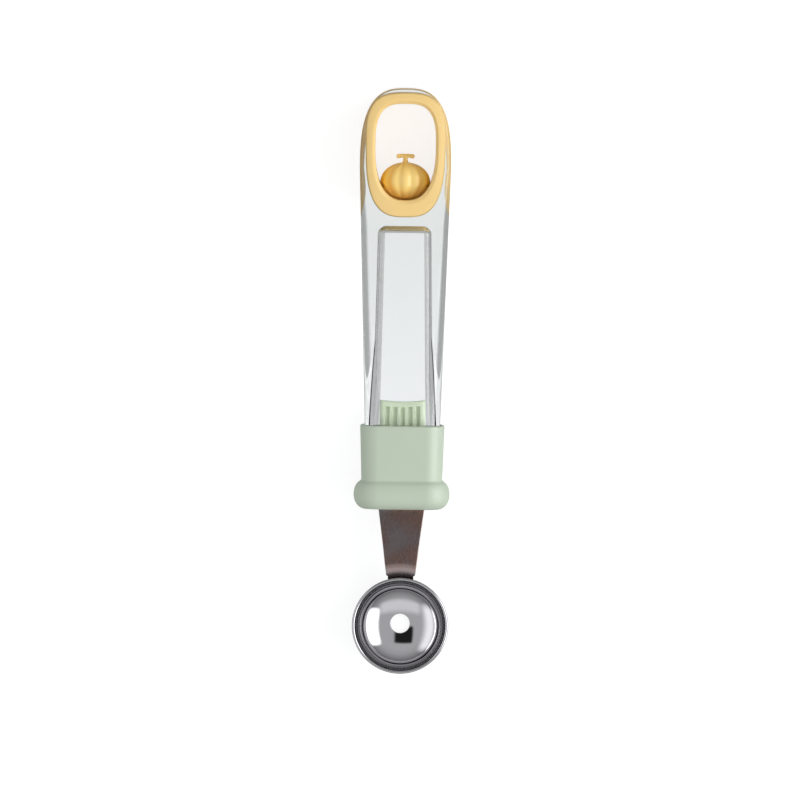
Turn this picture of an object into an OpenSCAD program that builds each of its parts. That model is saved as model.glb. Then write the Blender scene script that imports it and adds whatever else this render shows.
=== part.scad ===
// Melon baller: a polished round scoop on a tapered steel shank, a soft green collar
// with a guard bead, and a hollow clear handle whose head is a lined hanging window.
// X is the width, +Y runs from the scoop to the hanging end, +Z is up. The tool lies on
// its back with its middle plane level, and the scoop opens upwards.

/* [Handle] */
// Length of handle that shows, from the collar to the hanging end
handle_visible_l = 101.2; // [95:0.1:110]
// Length of handle that is hidden inside the collar
handle_inset_l = 19.8; // [16:0.1:20.5]
// Width of the head, the widest stretch of the handle
head_w = 27.3; // [27:0.1:29]
// Thickness of the head, front face to back face
head_t = 16.5; // [14.5:0.1:18]
// Width of the handle at its open mouth
mouth_w = 21.4; // [21.2:0.1:22.4]
// Thickness of the handle at its open mouth
mouth_t = 9.6; // [9.4:0.1:10.6]
// Length over which the top of the head rounds off
head_arc_l = 24; // [20:0.5:27]
// Squareness of the head's round top, where 2 is an ellipse
head_arc_n = 2.8; // [2.2:0.1:3.2]
// Radius of the long edges at the head
head_edge_r = 1.8; // [1:0.1:2]
// Radius of the long edges at the mouth
mouth_edge_r = 4.2; // [3.4:0.1:4.6]

/* [Cavity] */
// Thickness of clear plastic between the window and the cavity's ceiling
web_t = 2.9; // [2:0.1:6]
// Width of the cavity at the mouth
cavity_mouth_w = 18.8; // [18:0.1:19]
// Depth of the cavity at the mouth, front to back
cavity_mouth_t = 6.8; // [6.4:0.1:7]
// Width of the cavity at its ceiling
cavity_top_w = 16; // [14:0.1:17]
// Depth of the cavity at its ceiling, front to back
cavity_top_t = 5.6; // [5.2:0.1:6]
// Radius of the cavity's long corners
cavity_r = 2.5; // [1.5:0.1:2.6]
// Radius where the cavity's walls meet its ceiling
ceiling_r = 2.3; // [1.2:0.1:2.4]

/* [Window ring] */
// Width of the yellow ring
ring_w = 23.8; // [23:0.1:24.2]
// Distance from the hanging end to the ring's top
ring_top_gap = 1.5; // [1.2:0.1:2.5]
// Length of the ring, top to bottom
ring_l = 37; // [34:0.1:40]
// Squareness of the ring's outer top and bottom
ring_n = 3; // [2.6:0.1:3.2]
// Width of the opening inside the ring
opening_w = 18.1; // [17.6:0.1:18.6]
// Width of the ring's face at the top
ring_top_band = 3.2; // [2.8:0.1:4]
// Width of the ring's face at the bottom
ring_bottom_band = 4.9; // [4:0.1:6]
// Squareness of the opening's top
opening_top_n = 3.1; // [2.6:0.1:3.3]
// Squareness of the opening's bottom, where 2 is an ellipse
opening_bottom_n = 2.5; // [2.2:0.1:2.8]
// Radius that softens the ring's face edges
ring_edge_r = 0.5; // [0.2:0.05:0.8]
// How much higher the ring's face is along its middle than beside its edges
ring_crown = 0.3; // [0.1:0.05:0.5]
// Gap between the ring and the clear wall round it
ring_fit = 0.05; // [0.02:0.01:0.15]

/* [Ornament] */
// Height of the small melon above the bottom of the opening
melon_h = 11.2; // [9:0.1:13]
// Depth of the small melon, front to back
melon_t = 12; // [9:0.1:13.5]
// Number of ribs round the small melon
melon_ribs = 12; // [8:1:16]
// Depth of the grooves between the melon's ribs, as a share of its radius
melon_groove = 0.09; // [0.03:0.01:0.15]
// Length of the melon's stem
stem_l = 2; // [1.2:0.1:3]
// Thickness of the melon's stem
stem_d = 1.3; // [1:0.1:1.8]
// Length of the bar across the stem
stem_bar_l = 4.6; // [3:0.1:6]
// Thickness of the tongue that the two ring halves grip
tongue_t = 2.4; // [1.6:0.1:3]
// How far that tongue reaches into the ring
tongue_depth = 1.4; // [0.8:0.1:1.8]
// Clearance round the tongue
tongue_fit = 0.05; // [0.02:0.01:0.15]

/* [Collar] */
// Length of the collar, sleeve and bead together
collar_l = 25.2; // [24.6:0.1:28]
// Wall of the sleeve round the handle at its top edge
sleeve_wall = 1.2; // [0.9:0.05:1.6]
// How much narrower each side of the sleeve is at the bead than at its top
sleeve_taper = 0.55; // [0:0.05:0.6]
// Radius of the sleeve's top edge
sleeve_edge_r = 0.6; // [0.3:0.05:0.8]
// Width of the guard bead
bead_w = 28.8; // [27:0.1:31]
// Thickness of the guard bead, front to back
bead_t = 16.5; // [14.5:0.1:18]
// Length of the bead's upper round, from the sleeve to its widest line
bead_upper_l = 3.9; // [3:0.1:4.5]
// Length of the bead's lower round, from its widest line to the end face
bead_lower_l = 4.3; // [3.4:0.1:4.8]
// How far the bead's lower round draws in
bead_draw_in = 3.4; // [2:0.1:4]
// Running gap between the handle and what slides over or into it
slide_fit = 0.15; // [0.1:0.01:0.3]
// Gap between the handle's end and the collar's floor
seat_gap = 0.2; // [0.1:0.05:0.4]

/* [Plug] */
// Width of the ribbed plug
plug_w = 13.8; // [12:0.1:14.4]
// How far the plug shows above the collar
plug_show_l = 7.6; // [4:0.1:14]
// Depth of the plug's foot in the collar's floor
plug_foot_l = 2.4; // [1.5:0.1:3]
// Radius of the plug's long corners
plug_r = 1.2; // [0.6:0.1:1.6]
// Number of grooves on each face of the plug
plug_grooves = 5; // [3:1:6]
// Width of one groove
groove_w = 1.2; // [0.8:0.1:1.4]
// Depth of one groove
groove_d = 0.8; // [0.4:0.05:1]
// Length of plain plug between the grooves and the plug's end
plug_band_l = 1.8; // [1:0.1:2.4]
// How far the plug's end dips in its middle
plug_dip = 0.5; // [0.2:0.05:1]

/* [Shank] */
// Free length of the shank, from the collar to the scoop's wall
shank_l = 20.7; // [18:0.1:34]
// Thickness of the steel strip
strip_t = 1; // [0.8:0.05:1.4]
// Width of the strip where it leaves the collar
strip_w = 13.8; // [11:0.1:14]
// Width of the strip at the end of its taper, where it steps in to the tab
neck_w = 8.6; // [8.4:0.1:9.6]
// Width of the tab that is welded to the scoop
tab_w = 7.7; // [6:0.1:8.2]
// Width of the tang inside the plug
tang_w = 10; // [8:0.1:10.6]
// Length of the tang inside the plug
tang_l = 22; // [12:0.1:24]
// Radius of the bend, on its outer side
bend_r = 5.3; // [4.6:0.1:6.2]
// Angle below the rim at which the bend starts, in degrees
bend_low = 18; // [16:0.5:20]
// Distance from the scoop's wall at which the strip steps in to the tab
tab_step = 0.9; // [0.6:0.05:1.2]
// Angle below the rim at which the tab ends, in degrees
tab_low = 42; // [34:1:48]
// Gap that the weld fills between tab and scoop
weld_gap = 0.03; // [0.02:0.01:0.08]
// Gap between the steel and the plastic round it
tang_fit = 0.05; // [0.03:0.01:0.12]

/* [Scoop] */
// Outer diameter of the scoop
bowl_d = 28.9; // [25:0.1:32]
// Depth of the scoop outside, from its rim to its lowest point
bowl_depth = 10; // [8.6:0.1:14]
// Thickness of the scoop's wall
bowl_t = 0.9; // [0.7:0.05:1.2]
// Diameter of the vent hole in the middle of the scoop
vent_d = 5.8; // [4.8:0.1:7]

/* [Hidden] */

// Extra length that carries a cut through a surface
cut = 1;
// Steps in a quarter of the head's and the ring's outlines
outline_steps = 14;
// Steps along the straight of the handle's side
side_steps = 3;
// Steps round one edge radius
edge_steps = 5;
// Steps across the crown of the ring's face
crown_steps = 4;
// Facets of full circles
$fn = 96;
// Least radius of a corner that shrinks, and least flat between two round corners
least_r = 0.2;
least_flat = 0.4;
// Heights of the widest lines of ring, opening and melon, as shares of their lengths
ring_mid_share = 0.62;
opening_mid_share = 0.54;
melon_mid_share = 0.47;
// Depth of the melon against its width, near its ends
melon_round = 0.85;
// Gap between the melon and the opening that it sits in
melon_fit = 0.1;
// How far the tongue runs up the opening
tongue_rise_share = 0.4;
tongue_rise = melon_h * tongue_rise_share;
// Steps along the scoop's wall and over its rim
wall_steps = 22;
rim_steps = 8;
// Stretch of straight strip that the bend overlaps, and the angle that the bend is turned through
bend_tail = 1.5;
bend_sweep = 50;

// Heights over the table
axis_z = max(head_t, bead_t) / 2;
rim_z = bowl_depth;

// Stations along the tool, from the hanging end down
total_l = handle_visible_l + collar_l + shank_l + bowl_d;
top_y = total_l / 2;
collar_top_y = top_y - handle_visible_l;
collar_low_y = collar_top_y - collar_l;
mouth_y = collar_top_y - handle_inset_l;
floor_y = mouth_y - seat_gap;
bowl_y = collar_low_y - shank_l - bowl_d / 2;
head_arc_y = top_y - head_arc_l;
ring_top_y = top_y - ring_top_gap;
ring_low_y = ring_top_y - ring_l;
ceiling_y = ring_low_y - web_t;
opening_top_y = ring_top_y - ring_top_band;
opening_low_y = ring_low_y + ring_bottom_band;
ring_mid_y = ring_low_y + ring_mid_share * ring_l;
opening_mid_y = opening_low_y + opening_mid_share * (opening_top_y - opening_low_y);
plug_top_y = collar_top_y + plug_show_l;
foot_y = floor_y - plug_foot_l;
bead_mid_y = collar_low_y + bead_lower_l;
bead_top_y = bead_mid_y + bead_upper_l;

// The strip leaves the collar on the middle plane and climbs to the bend over the scoop's wall.
// These distances are from the scoop's upright axis, and these heights from its rim plane. The
// wall is an ellipse in section, and an angle under the rim names a point of it.
weld_r = bowl_d / 2 + weld_gap;
weld_depth = bowl_depth + weld_gap;
function wall_out(t) = let (g = [cos(t) / weld_r, -sin(t) / weld_depth]) g / norm(g);
function wall_at(t, gap) = [weld_r * cos(t), -weld_depth * sin(t)] + gap * wall_out(t);
bend_out = wall_out(bend_low);
bend_c = wall_at(bend_low, bend_r);
bend_end = 180 + atan2(bend_out[1], bend_out[0]);
exit_p = [collar_low_y - bowl_y, axis_z + strip_t / 2 - rim_z];
to_bend = [exit_p[0] - bend_c[0], bend_c[1] - exit_p[1]];
climb = atan2(to_bend[1], to_bend[0]) + asin(bend_r / norm(to_bend));
strip_up = [sin(climb), cos(climb)];
strip_along = [cos(climb), -sin(climb)];
crest_p = bend_c + bend_r * strip_up;

function lerp(a, b, s) = a + (b - a) * s;
function share(v, from, to) = min(1, max(0, (v - from) / (to - from)));

// Half width, half thickness and edge radius of the handle at a station
function handle_hw(y) = lerp(mouth_w, head_w, share(y, mouth_y, head_arc_y)) / 2;
function handle_ht(y) = lerp(mouth_t, head_t, share(y, mouth_y, ceiling_y)) / 2;
function handle_er(y) = lerp(mouth_edge_r, head_edge_r, share(y, mouth_y, ceiling_y));
function cavity_hw(y) = lerp(cavity_mouth_w, cavity_top_w, (y - mouth_y) / (ceiling_y - mouth_y)) / 2;
function cavity_ht(y) = lerp(cavity_mouth_t, cavity_top_t, (y - mouth_y) / (ceiling_y - mouth_y)) / 2;

// A quarter of a superellipse with half axes a and b and squareness n, as [x, y] from [a, 0] to [0, b]
function quarter(a, b, n, steps) =
    [for (i = [0:steps]) let (t = 90 * i / steps) [a * pow(cos(t), 2 / n), b * pow(sin(t), 2 / n)]];

// Unit vector out of a superellipse at a point of it
function outward(p, a, b, n) =
    let (g = [pow(p[0] / a, n - 1) / a, pow(p[1] / b, n - 1) / b]) g / norm(g);

function turned(points) = [for (i = [len(points) - 1:-1:0]) points[i]];

// Closed outline with a top and a bottom of different heights and squareness, about [0, mid]
function egg(hw, mid, up, up_n, down, down_n, steps) =
    let (
        top = quarter(hw, up, up_n, steps),
        low = quarter(hw, down, down_n, steps)
    )
    concat(
        [for (p = top) [p[0], mid + p[1]]],
        [for (i = [steps - 1:-1:0]) [-top[i][0], mid + top[i][1]]],
        [for (i = [1:steps]) [-low[i][0], mid - low[i][1]]],
        [for (i = [steps - 1:-1:1]) [low[i][0], mid - low[i][1]]]
    );

// Outer outline of the ring, grown by a gap
function ring_outline(gap, steps) =
    egg(ring_w / 2 + gap, ring_mid_y, ring_top_y - ring_mid_y + gap, ring_n,
        ring_mid_y - ring_low_y + gap, ring_n, steps);

// Outline of the opening inside the ring, grown by a gap
function opening_outline(gap, steps) =
    egg(opening_w / 2 + gap, opening_mid_y, opening_top_y - opening_mid_y + gap, opening_top_n,
        opening_mid_y - opening_low_y + gap, opening_bottom_n, steps);

// Rectangle with round corners in X and Z, centred on the middle plane
function round_section(hw, ht, rx, rz, steps) =
    [for (c = [[1, 1, 0], [-1, 1, 90], [-1, -1, 180], [1, -1, 270]], i = [0:steps])
        let (t = c[2] + 90 * i / steps)
        [c[0] * (hw - rx) + rx * cos(t), axis_z + c[1] * (ht - rz) + rz * sin(t)]];

// Solid through a list of [y, section], with equal point counts, from low y to high y
module loft(stations) {
    n = len(stations[0][1]);
    m = len(stations);
    points = [for (s = stations, p = s[1]) [p[0], s[0], p[1]]];
    sides = [for (j = [0:m - 2], i = [0:n - 1])
        [j * n + i, j * n + (i + 1) % n, (j + 1) * n + (i + 1) % n, (j + 1) * n + i]];
    low_cap = [for (i = [n - 1:-1:0]) i];
    high_cap = [for (i = [0:n - 1]) (m - 1) * n + i];
    polyhedron(points, concat(sides, [low_cap, high_cap]), convexity = 4);
}

// Box between two corners
module block(low, high) {
    translate(low)
        cube(high - low);
}

// A front piece turned to the back, across the middle plane
module to_back() {
    translate([0, 0, 2 * axis_z])
        mirror([0, 0, 1])
            children();
}

// Side outline of the handle from the mouth over the head, right half: [x, y, out_x, out_y]
function handle_side() =
    let (
        arc = quarter(head_w / 2, head_arc_l, head_arc_n, outline_steps),
        straight = [for (i = [0:side_steps]) lerp(mouth_y, ceiling_y, i / side_steps)]
    )
    concat(
        [for (y = straight) [handle_hw(y), y, 1, 0]],
        [for (p = arc)
            let (o = outward(p, head_w / 2, head_arc_l, head_arc_n))
            [p[0], head_arc_y + p[1], o[0], o[1]]]
    );

// Profile of one side from the back face to the front face, as [inset, height from the middle plane]
function edge_profile(r, ht) = concat(
    [for (i = [0:edge_steps]) let (t = 90 * i / edge_steps) [r * (1 - sin(t)), -ht + r * (1 - cos(t))]],
    [for (i = [0:edge_steps]) let (t = 90 * i / edge_steps) [r * (1 - cos(t)), ht - r * (1 - sin(t))]]
);

// Outside of the clear handle: its side outline with the rounded edge profile carried round it
module handle_outside() {
    side = handle_side();
    last = len(side) - 1;
    k = 2 * (edge_steps + 1);
    // Right side up, over the top, left side down
    path = concat(
        [for (i = [0:last]) [side[i], 1]],
        [for (i = [last - 1:-1:0]) [side[i], -1]]
    );
    points = [for (s = path)
        let (q = s[0], profile = edge_profile(handle_er(q[1]), handle_ht(q[1])))
        for (e = profile)
            [s[1] * (q[0] - e[0] * q[2]), q[1] - e[0] * q[3], axis_z + e[1]]];
    count = len(path);
    walls = [for (j = [0:count - 2], i = [0:k - 2])
        [j * k + i, j * k + i + 1, (j + 1) * k + i + 1, (j + 1) * k + i]];
    // Each face is a ladder from side to side that ends in a triangle at the top
    front = [for (j = [0:last - 2])
        [j * k + k - 1, (count - 1 - j) * k + k - 1, (count - 2 - j) * k + k - 1, (j + 1) * k + k - 1]];
    back = [for (j = [0:last - 2])
        [j * k, (j + 1) * k, (count - 2 - j) * k, (count - 1 - j) * k]];
    front_tip = [last * k - 1, (last + 2) * k - 1, (last + 1) * k - 1];
    back_tip = [(last - 1) * k, last * k, (last + 1) * k];
    mouth = concat([for (i = [k - 1:-1:0]) i], [for (i = [0:k - 1]) (count - 1) * k + i]);
    polyhedron(points, concat(walls, front, back, [front_tip, back_tip, mouth]), convexity = 6);
}

// Moulding core of the cavity: drafted from the mouth to a rounded ceiling
module handle_cavity() {
    low = mouth_y - cut;
    stations = concat(
        [[low, round_section(cavity_hw(low), cavity_ht(low), cavity_r, cavity_r, edge_steps)]],
        [for (i = [0:edge_steps])
            let (
                t = 90 * i / edge_steps,
                y = ceiling_y - ceiling_r * (1 - sin(t)),
                inset = ceiling_r * (1 - cos(t)),
                r = max(least_r, cavity_r - inset)
            )
            [y, round_section(cavity_hw(y) - inset, cavity_ht(y) - inset, r, r, edge_steps)]]
    );
    loft(stations);
}

module window_pocket() {
    translate([0, 0, -cut])
        linear_extrude(2 * axis_z + 2 * cut)
            polygon(ring_outline(ring_fit, outline_steps));
}

module handle_body() {
    color([0.85, 0.89, 0.87, 0.45])
        difference() {
            handle_outside();
            handle_cavity();
            window_pocket();
        }
}

// Half of the window ring, from the middle plane to its face. Its profile runs up the outer wall,
// over the softened edges and the crowned face and down the inner wall. A profile point is [share
// of the way from the outer to the inner outline, extra way, height], carried round both outlines.
module ring_half() {
    outer = ring_outline(0, outline_steps);
    inner = opening_outline(0, outline_steps);
    n = len(outer);
    r = ring_edge_r;
    face = head_t / 2;
    soft = [for (i = [0:edge_steps - 1])
        let (t = 90 * i / (edge_steps - 1))
        [r * (1 - cos(t)), face - ring_crown - r * (1 - sin(t))]];
    crown = [for (i = [1:crown_steps - 1])
        let (s = i / crown_steps)
        [s, r * (1 - 2 * s), face - ring_crown * pow(1 - 2 * s, 2)]];
    profile = concat(
        [[0, 0, 0]],
        [for (p = soft) [0, p[0], p[1]]],
        crown,
        [for (p = turned(soft)) [1, -p[0], p[1]]],
        [[1, 0, 0]]
    );
    k = len(profile);
    points = [for (i = [0:n - 1], p = profile)
        let (
            across = inner[i] - outer[i],
            at = outer[i] + across * (p[0] + p[1] / norm(across))
        )
        [at[0], at[1], axis_z + p[2]]];
    walls = [for (i = [0:n - 1], j = [0:k - 1])
        [i * k + j, i * k + (j + 1) % k, ((i + 1) % n) * k + (j + 1) % k, ((i + 1) % n) * k + j]];
    polyhedron(points, walls, convexity = 6);
}

// Plate that follows the bottom of the opening, to grip or to be gripped
module tongue(reach, thickness) {
    translate([0, 0, axis_z - thickness / 2])
        linear_extrude(thickness)
            intersection() {
                polygon(opening_outline(reach, outline_steps));
                translate([-opening_w, opening_low_y - opening_w])
                    square([2 * opening_w, opening_w + tongue_rise]);
            }
}

module ring_front() {
    color([0.96, 0.83, 0.53])
        difference() {
            ring_half();
            tongue(tongue_depth + tongue_fit, tongue_t + 2 * tongue_fit);
        }
}

module ring_back() {
    color([0.96, 0.83, 0.53])
        difference() {
            to_back()
                ring_half();
            tongue(tongue_depth + tongue_fit, tongue_t + 2 * tongue_fit);
        }
}

// Half width of the opening at a height over its bottom
function opening_hw(h) =
    let (down = opening_mid_y - opening_low_y)
    opening_w / 2 * pow(1 - pow(1 - min(h, down) / down, opening_bottom_n), 1 / opening_bottom_n);

// Half width of the small melon at a height over the bottom of the opening
function melon_hw(h) =
    let (mid = melon_h * melon_mid_share)
    h < mid
        ? opening_hw(h) - melon_fit
        : (opening_hw(mid) - melon_fit) * sqrt(1 - pow((h - mid) / (melon_h - mid), 2));

// Small ribbed melon with a T-shaped stem, its lower half following the opening
module ornament() {
    around = melon_ribs * 4;
    levels = 14;
    // Heights lie closer together near both ends
    heights = [for (i = [1:levels - 1]) melon_fit + (melon_h - melon_fit) * (1 - cos(180 * i / levels)) / 2];
    ring_at = function (h)
        let (hw = melon_hw(h), ht = min(hw * melon_round, melon_t / 2))
        [for (i = [0:around - 1])
            let (t = 360 * i / around, lobe = 1 - melon_groove * pow(sin(t * melon_ribs / 2), 2))
            [hw * lobe * cos(t), opening_low_y + h, axis_z + ht * lobe * sin(t)]];
    low_pole = [0, opening_low_y + melon_fit, axis_z];
    high_pole = [0, opening_low_y + melon_h, axis_z];
    points = concat([for (h = heights, p = ring_at(h)) p], [low_pole, high_pole]);
    rows = levels - 1;
    walls = [for (j = [0:rows - 2], i = [0:around - 1])
        [j * around + i, j * around + (i + 1) % around,
            (j + 1) * around + (i + 1) % around, (j + 1) * around + i]];
    low_fan = [for (i = [0:around - 1]) [rows * around, (i + 1) % around, i]];
    high_fan = [for (i = [0:around - 1])
        [rows * around + 1, (rows - 1) * around + i, (rows - 1) * around + (i + 1) % around]];
    stem_y = opening_low_y + melon_h;
    color([0.93, 0.74, 0.33]) {
        union() {
            polyhedron(points, concat(walls, low_fan, high_fan), convexity = 6);
            tongue(tongue_depth, tongue_t);
            translate([0, stem_y - stem_d / 2, axis_z])
                rotate([-90, 0, 0])
                    cylinder(h = stem_l + stem_d / 2, d = stem_d, $fn = 24);
            translate([-stem_bar_l / 2, stem_y + stem_l, axis_z])
                rotate([0, 90, 0])
                    cylinder(h = stem_bar_l, d = stem_d, $fn = 24);
        }
    }
}

// Outer half sizes of the collar at a station, [half width, half thickness]
function sleeve_half(y) =
    let (
        s = (collar_top_y - y) / (collar_top_y - bead_top_y),
        wall = sleeve_wall + slide_fit - sleeve_taper * s
    )
    [handle_hw(collar_top_y) + wall, handle_ht(collar_top_y) + wall];

function bead_half(y) =
    let (
        root = sleeve_half(bead_top_y),
        up = share(y, bead_mid_y, bead_top_y),
        down = share(y, bead_mid_y, collar_low_y),
        swell = sqrt(1 - up * up),
        draw = bead_draw_in * (1 - sqrt(1 - down * down))
    )
    [lerp(root[0], bead_w / 2, swell) - draw, lerp(root[1], bead_t / 2, swell) - draw];

// Corner radius of the collar's section, concentric with the handle's edges
function collar_section(half) =
    let (grown = half[0] - handle_hw(collar_top_y), r = min(half[1] - least_flat, mouth_edge_r + grown))
    round_section(half[0], half[1], r, r, edge_steps);

module collar_outside() {
    bead_steps = 7;
    top = sleeve_half(collar_top_y);
    stations = concat(
        [for (i = [0:bead_steps])
            let (y = bead_mid_y - bead_lower_l * cos(90 * i / bead_steps))
            [y, collar_section(bead_half(y))]],
        [for (i = [1:bead_steps])
            let (y = bead_mid_y + bead_upper_l * sin(90 * i / bead_steps))
            [y, collar_section(bead_half(y))]],
        [for (i = [0:edge_steps - 1])
            let (
                t = 90 * i / (edge_steps - 1),
                y = collar_top_y - sleeve_edge_r * (1 - sin(t)),
                inset = sleeve_edge_r * (1 - cos(t)),
                half = sleeve_half(y)
            )
            [y, collar_section([half[0] - inset, half[1] - inset])]]
    );
    loft(stations);
}

// Room for the handle's end, a running gap larger than the handle all round
module handle_pocket() {
    grown = function (y) round_section(handle_hw(y) + slide_fit, handle_ht(y) + slide_fit,
        handle_er(y) + slide_fit, handle_er(y) + slide_fit, edge_steps);
    high = collar_top_y + cut;
    loft([[floor_y, grown(mouth_y)], [high, grown(high)]]);
}

module collar() {
    slot_hw = strip_w / 2 + tang_fit;
    slot_ht = strip_t / 2 + tang_fit;
    foot_hw = plug_w / 2 + tang_fit;
    foot_ht = plug_ht(floor_y) + tang_fit;
    color([0.73, 0.79, 0.69])
        difference() {
            collar_outside();
            handle_pocket();
            block(
                [-foot_hw, foot_y - tang_fit, axis_z - foot_ht],
                [foot_hw, floor_y + cut, axis_z + foot_ht]
            );
            block(
                [-slot_hw, collar_low_y - cut, axis_z - slot_ht],
                [slot_hw, foot_y + cut, axis_z + slot_ht]
            );
        }
}

// Half thickness of the plug: a running gap less than the cavity, with the cavity's draft
function plug_ht(y) = cavity_ht(max(y, mouth_y)) - slide_fit;

// Grooves along the plug's front face, which stop short of its end
module plug_face_grooves() {
    pitch = (plug_w - 2 * plug_r) / plug_grooves;
    low_z = axis_z + plug_ht(plug_top_y) - groove_d;
    high_y = plug_top_y - plug_band_l;
    for (i = [0:plug_grooves - 1])
        let (x = (i - (plug_grooves - 1) / 2) * pitch)
        block([x - groove_w / 2, mouth_y, low_z], [x + groove_w / 2, high_y, 2 * axis_z]);
}

module plug() {
    dip_r = (pow(plug_w / 2, 2) + pow(plug_dip, 2)) / (2 * plug_dip);
    stations = [for (y = [foot_y, mouth_y, plug_top_y])
        [y, round_section(plug_w / 2, plug_ht(y), plug_r, plug_r, edge_steps)]];
    color([0.63, 0.71, 0.59])
        difference() {
            loft(stations);
            plug_face_grooves();
            to_back()
                plug_face_grooves();
            block(
                [-tang_w / 2 - tang_fit, foot_y - cut, axis_z - strip_t / 2 - tang_fit],
                [tang_w / 2 + tang_fit, foot_y + tang_l + tang_fit, axis_z + strip_t / 2 + tang_fit]
            );
            translate([0, plug_top_y - plug_dip + dip_r, 0])
                cylinder(h = 2 * axis_z, r = dip_r, $fn = 180);
        }
}

// Side view of the straight strip and the tang, as [y, z]
function strip_side() =
    let (
        drop = strip_t * strip_up,
        exit = [collar_low_y, axis_z + strip_t / 2],
        crest = [bowl_y + crest_p[0], rim_z + crest_p[1]],
        inner = collar_low_y - strip_t * tan(climb / 2)
    )
    [
        [foot_y + tang_l, axis_z + strip_t / 2],
        exit,
        crest,
        crest - drop,
        [inner, axis_z - strip_t / 2],
        [foot_y + tang_l, axis_z - strip_t / 2]
    ];

// Plan of the steel: tang, shoulders inside the collar, taper, and the narrower tab
function strip_plan() =
    let (
        tab_y = bowl_y + weld_r + tab_step,
        right = [
            [tang_w / 2, foot_y + tang_l + cut],
            [tang_w / 2, foot_y],
            [strip_w / 2, foot_y],
            [strip_w / 2, collar_low_y],
            [neck_w / 2, tab_y + (neck_w - tab_w) / 2],
            [tab_w / 2, tab_y],
            [tab_w / 2, bowl_y]
        ]
    )
    concat(right, [for (p = turned(right)) [-p[0], p[1]]]);

// Bend and tab as a strip turned about the scoop's upright axis, so that it hugs the wall
module bend_and_tab() {
    arc_steps = 8;
    tail = crest_p + bend_tail * strip_along;
    top = concat(
        [for (i = [0:arc_steps])
            wall_at(lerp(tab_low, bend_low, i / arc_steps), 0)],
        [for (i = [1:arc_steps])
            let (t = lerp(bend_end, 90 - climb, i / arc_steps))
            bend_c + bend_r * [cos(t), sin(t)]],
        [tail]
    );
    under = concat(
        [tail - strip_t * strip_up],
        [for (i = [0:arc_steps])
            let (t = lerp(90 - climb, bend_end, i / arc_steps))
            bend_c + (bend_r - strip_t) * [cos(t), sin(t)]],
        [for (i = [1:arc_steps])
            wall_at(lerp(bend_low, tab_low, i / arc_steps), strip_t)]
    );
    translate([0, bowl_y, rim_z])
        rotate([0, 0, 90 - bend_sweep / 2])
            rotate_extrude(angle = bend_sweep)
                polygon(concat(top, under));
}

module shank() {
    color([0.55, 0.54, 0.54])
        intersection() {
            union() {
                rotate([90, 0, 90])
                    linear_extrude(2 * strip_w, center = true)
                        polygon(strip_side());
                bend_and_tab();
            }
            translate([0, 0, -cut])
                linear_extrude(rim_z + axis_z + 2 * cut)
                    polygon(strip_plan());
        }
}

// Round scoop of sheet steel with a rounded rim and a vent hole. Its section is half an ellipse.
module bowl() {
    half = bowl_t / 2;
    outer = [bowl_d / 2, bowl_depth];
    inner = outer - [bowl_t, bowl_t];
    outer_end = acos(vent_d / 2 / outer[0]);
    inner_end = acos(vent_d / 2 / inner[0]);
    section = concat(
        [for (i = [wall_steps:-1:1])
            let (t = outer_end * i / wall_steps)
            [outer[0] * cos(t), -outer[1] * sin(t)]],
        [for (i = [0:rim_steps])
            let (t = 180 * i / rim_steps)
            [outer[0] - half + half * cos(t), half * sin(t)]],
        [for (i = [1:wall_steps])
            let (t = inner_end * i / wall_steps)
            [inner[0] * cos(t), -inner[1] * sin(t)]]
    );
    color([0.80, 0.80, 0.82])
        translate([0, bowl_y, rim_z])
            rotate_extrude()
                polygon(section);
}

handle_body();
ring_front();
ring_back();
ornament();
collar();
plug();
shank();
bowl();
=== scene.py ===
"""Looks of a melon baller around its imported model.

The clear hollow handle, its lined window with a small ribbed melon, the soft collar with its ribbed
plug, the steel shank and the polished scoop are surfaces worked out with numpy. Their places come from
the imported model's boxes, and their own sizes are fields in millimetres.
"""

import logging
import math
from dataclasses import dataclass
from enum import Enum
from functools import cache

import bpy
import numpy as np
from mathutils import Matrix, Vector


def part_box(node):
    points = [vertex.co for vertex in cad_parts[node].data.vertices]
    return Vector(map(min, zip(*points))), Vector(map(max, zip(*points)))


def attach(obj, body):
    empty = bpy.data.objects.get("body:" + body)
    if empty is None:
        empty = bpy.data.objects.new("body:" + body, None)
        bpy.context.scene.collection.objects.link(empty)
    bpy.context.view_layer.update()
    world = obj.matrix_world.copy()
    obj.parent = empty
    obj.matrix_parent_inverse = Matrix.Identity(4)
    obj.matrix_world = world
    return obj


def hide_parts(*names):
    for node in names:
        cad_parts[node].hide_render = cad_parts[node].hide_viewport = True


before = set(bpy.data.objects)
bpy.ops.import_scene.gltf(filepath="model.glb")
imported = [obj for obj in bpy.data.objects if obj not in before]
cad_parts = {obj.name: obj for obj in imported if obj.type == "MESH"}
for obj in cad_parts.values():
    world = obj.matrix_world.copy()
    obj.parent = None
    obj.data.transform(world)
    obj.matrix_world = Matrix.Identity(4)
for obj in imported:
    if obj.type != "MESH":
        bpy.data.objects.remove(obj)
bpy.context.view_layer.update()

Array = np.ndarray
Pair = tuple[float, float]
Triple = tuple[float, float, float]
Colour = Triple
Socket = bpy.types.NodeSocket
Sockets = dict[str, Socket]

MM = 0.001
# Least length that a vector is divided by
TINY = 1e-12
# Points that share a cell of this size, in millimetres, are welded into one vertex
WELD = 1e-4
WELD_PHASE = 0.37
QUARTER = math.pi / 2
LOG = logging.getLogger("melon_baller")


class Body(Enum):
    """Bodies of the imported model."""

    HANDLE = "handle"
    SCOOP = "scoop_head"


class Slot(Enum):
    """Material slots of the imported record."""

    CLEAR = "clear_plastic"
    YELLOW = "yellow_plastic"
    AMBER = "amber_plastic"
    GREEN = "green_plastic"
    DARK_GREEN = "dark_green_plastic"
    BRUSHED = "brushed_steel"
    POLISHED = "polished_steel"


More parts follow.
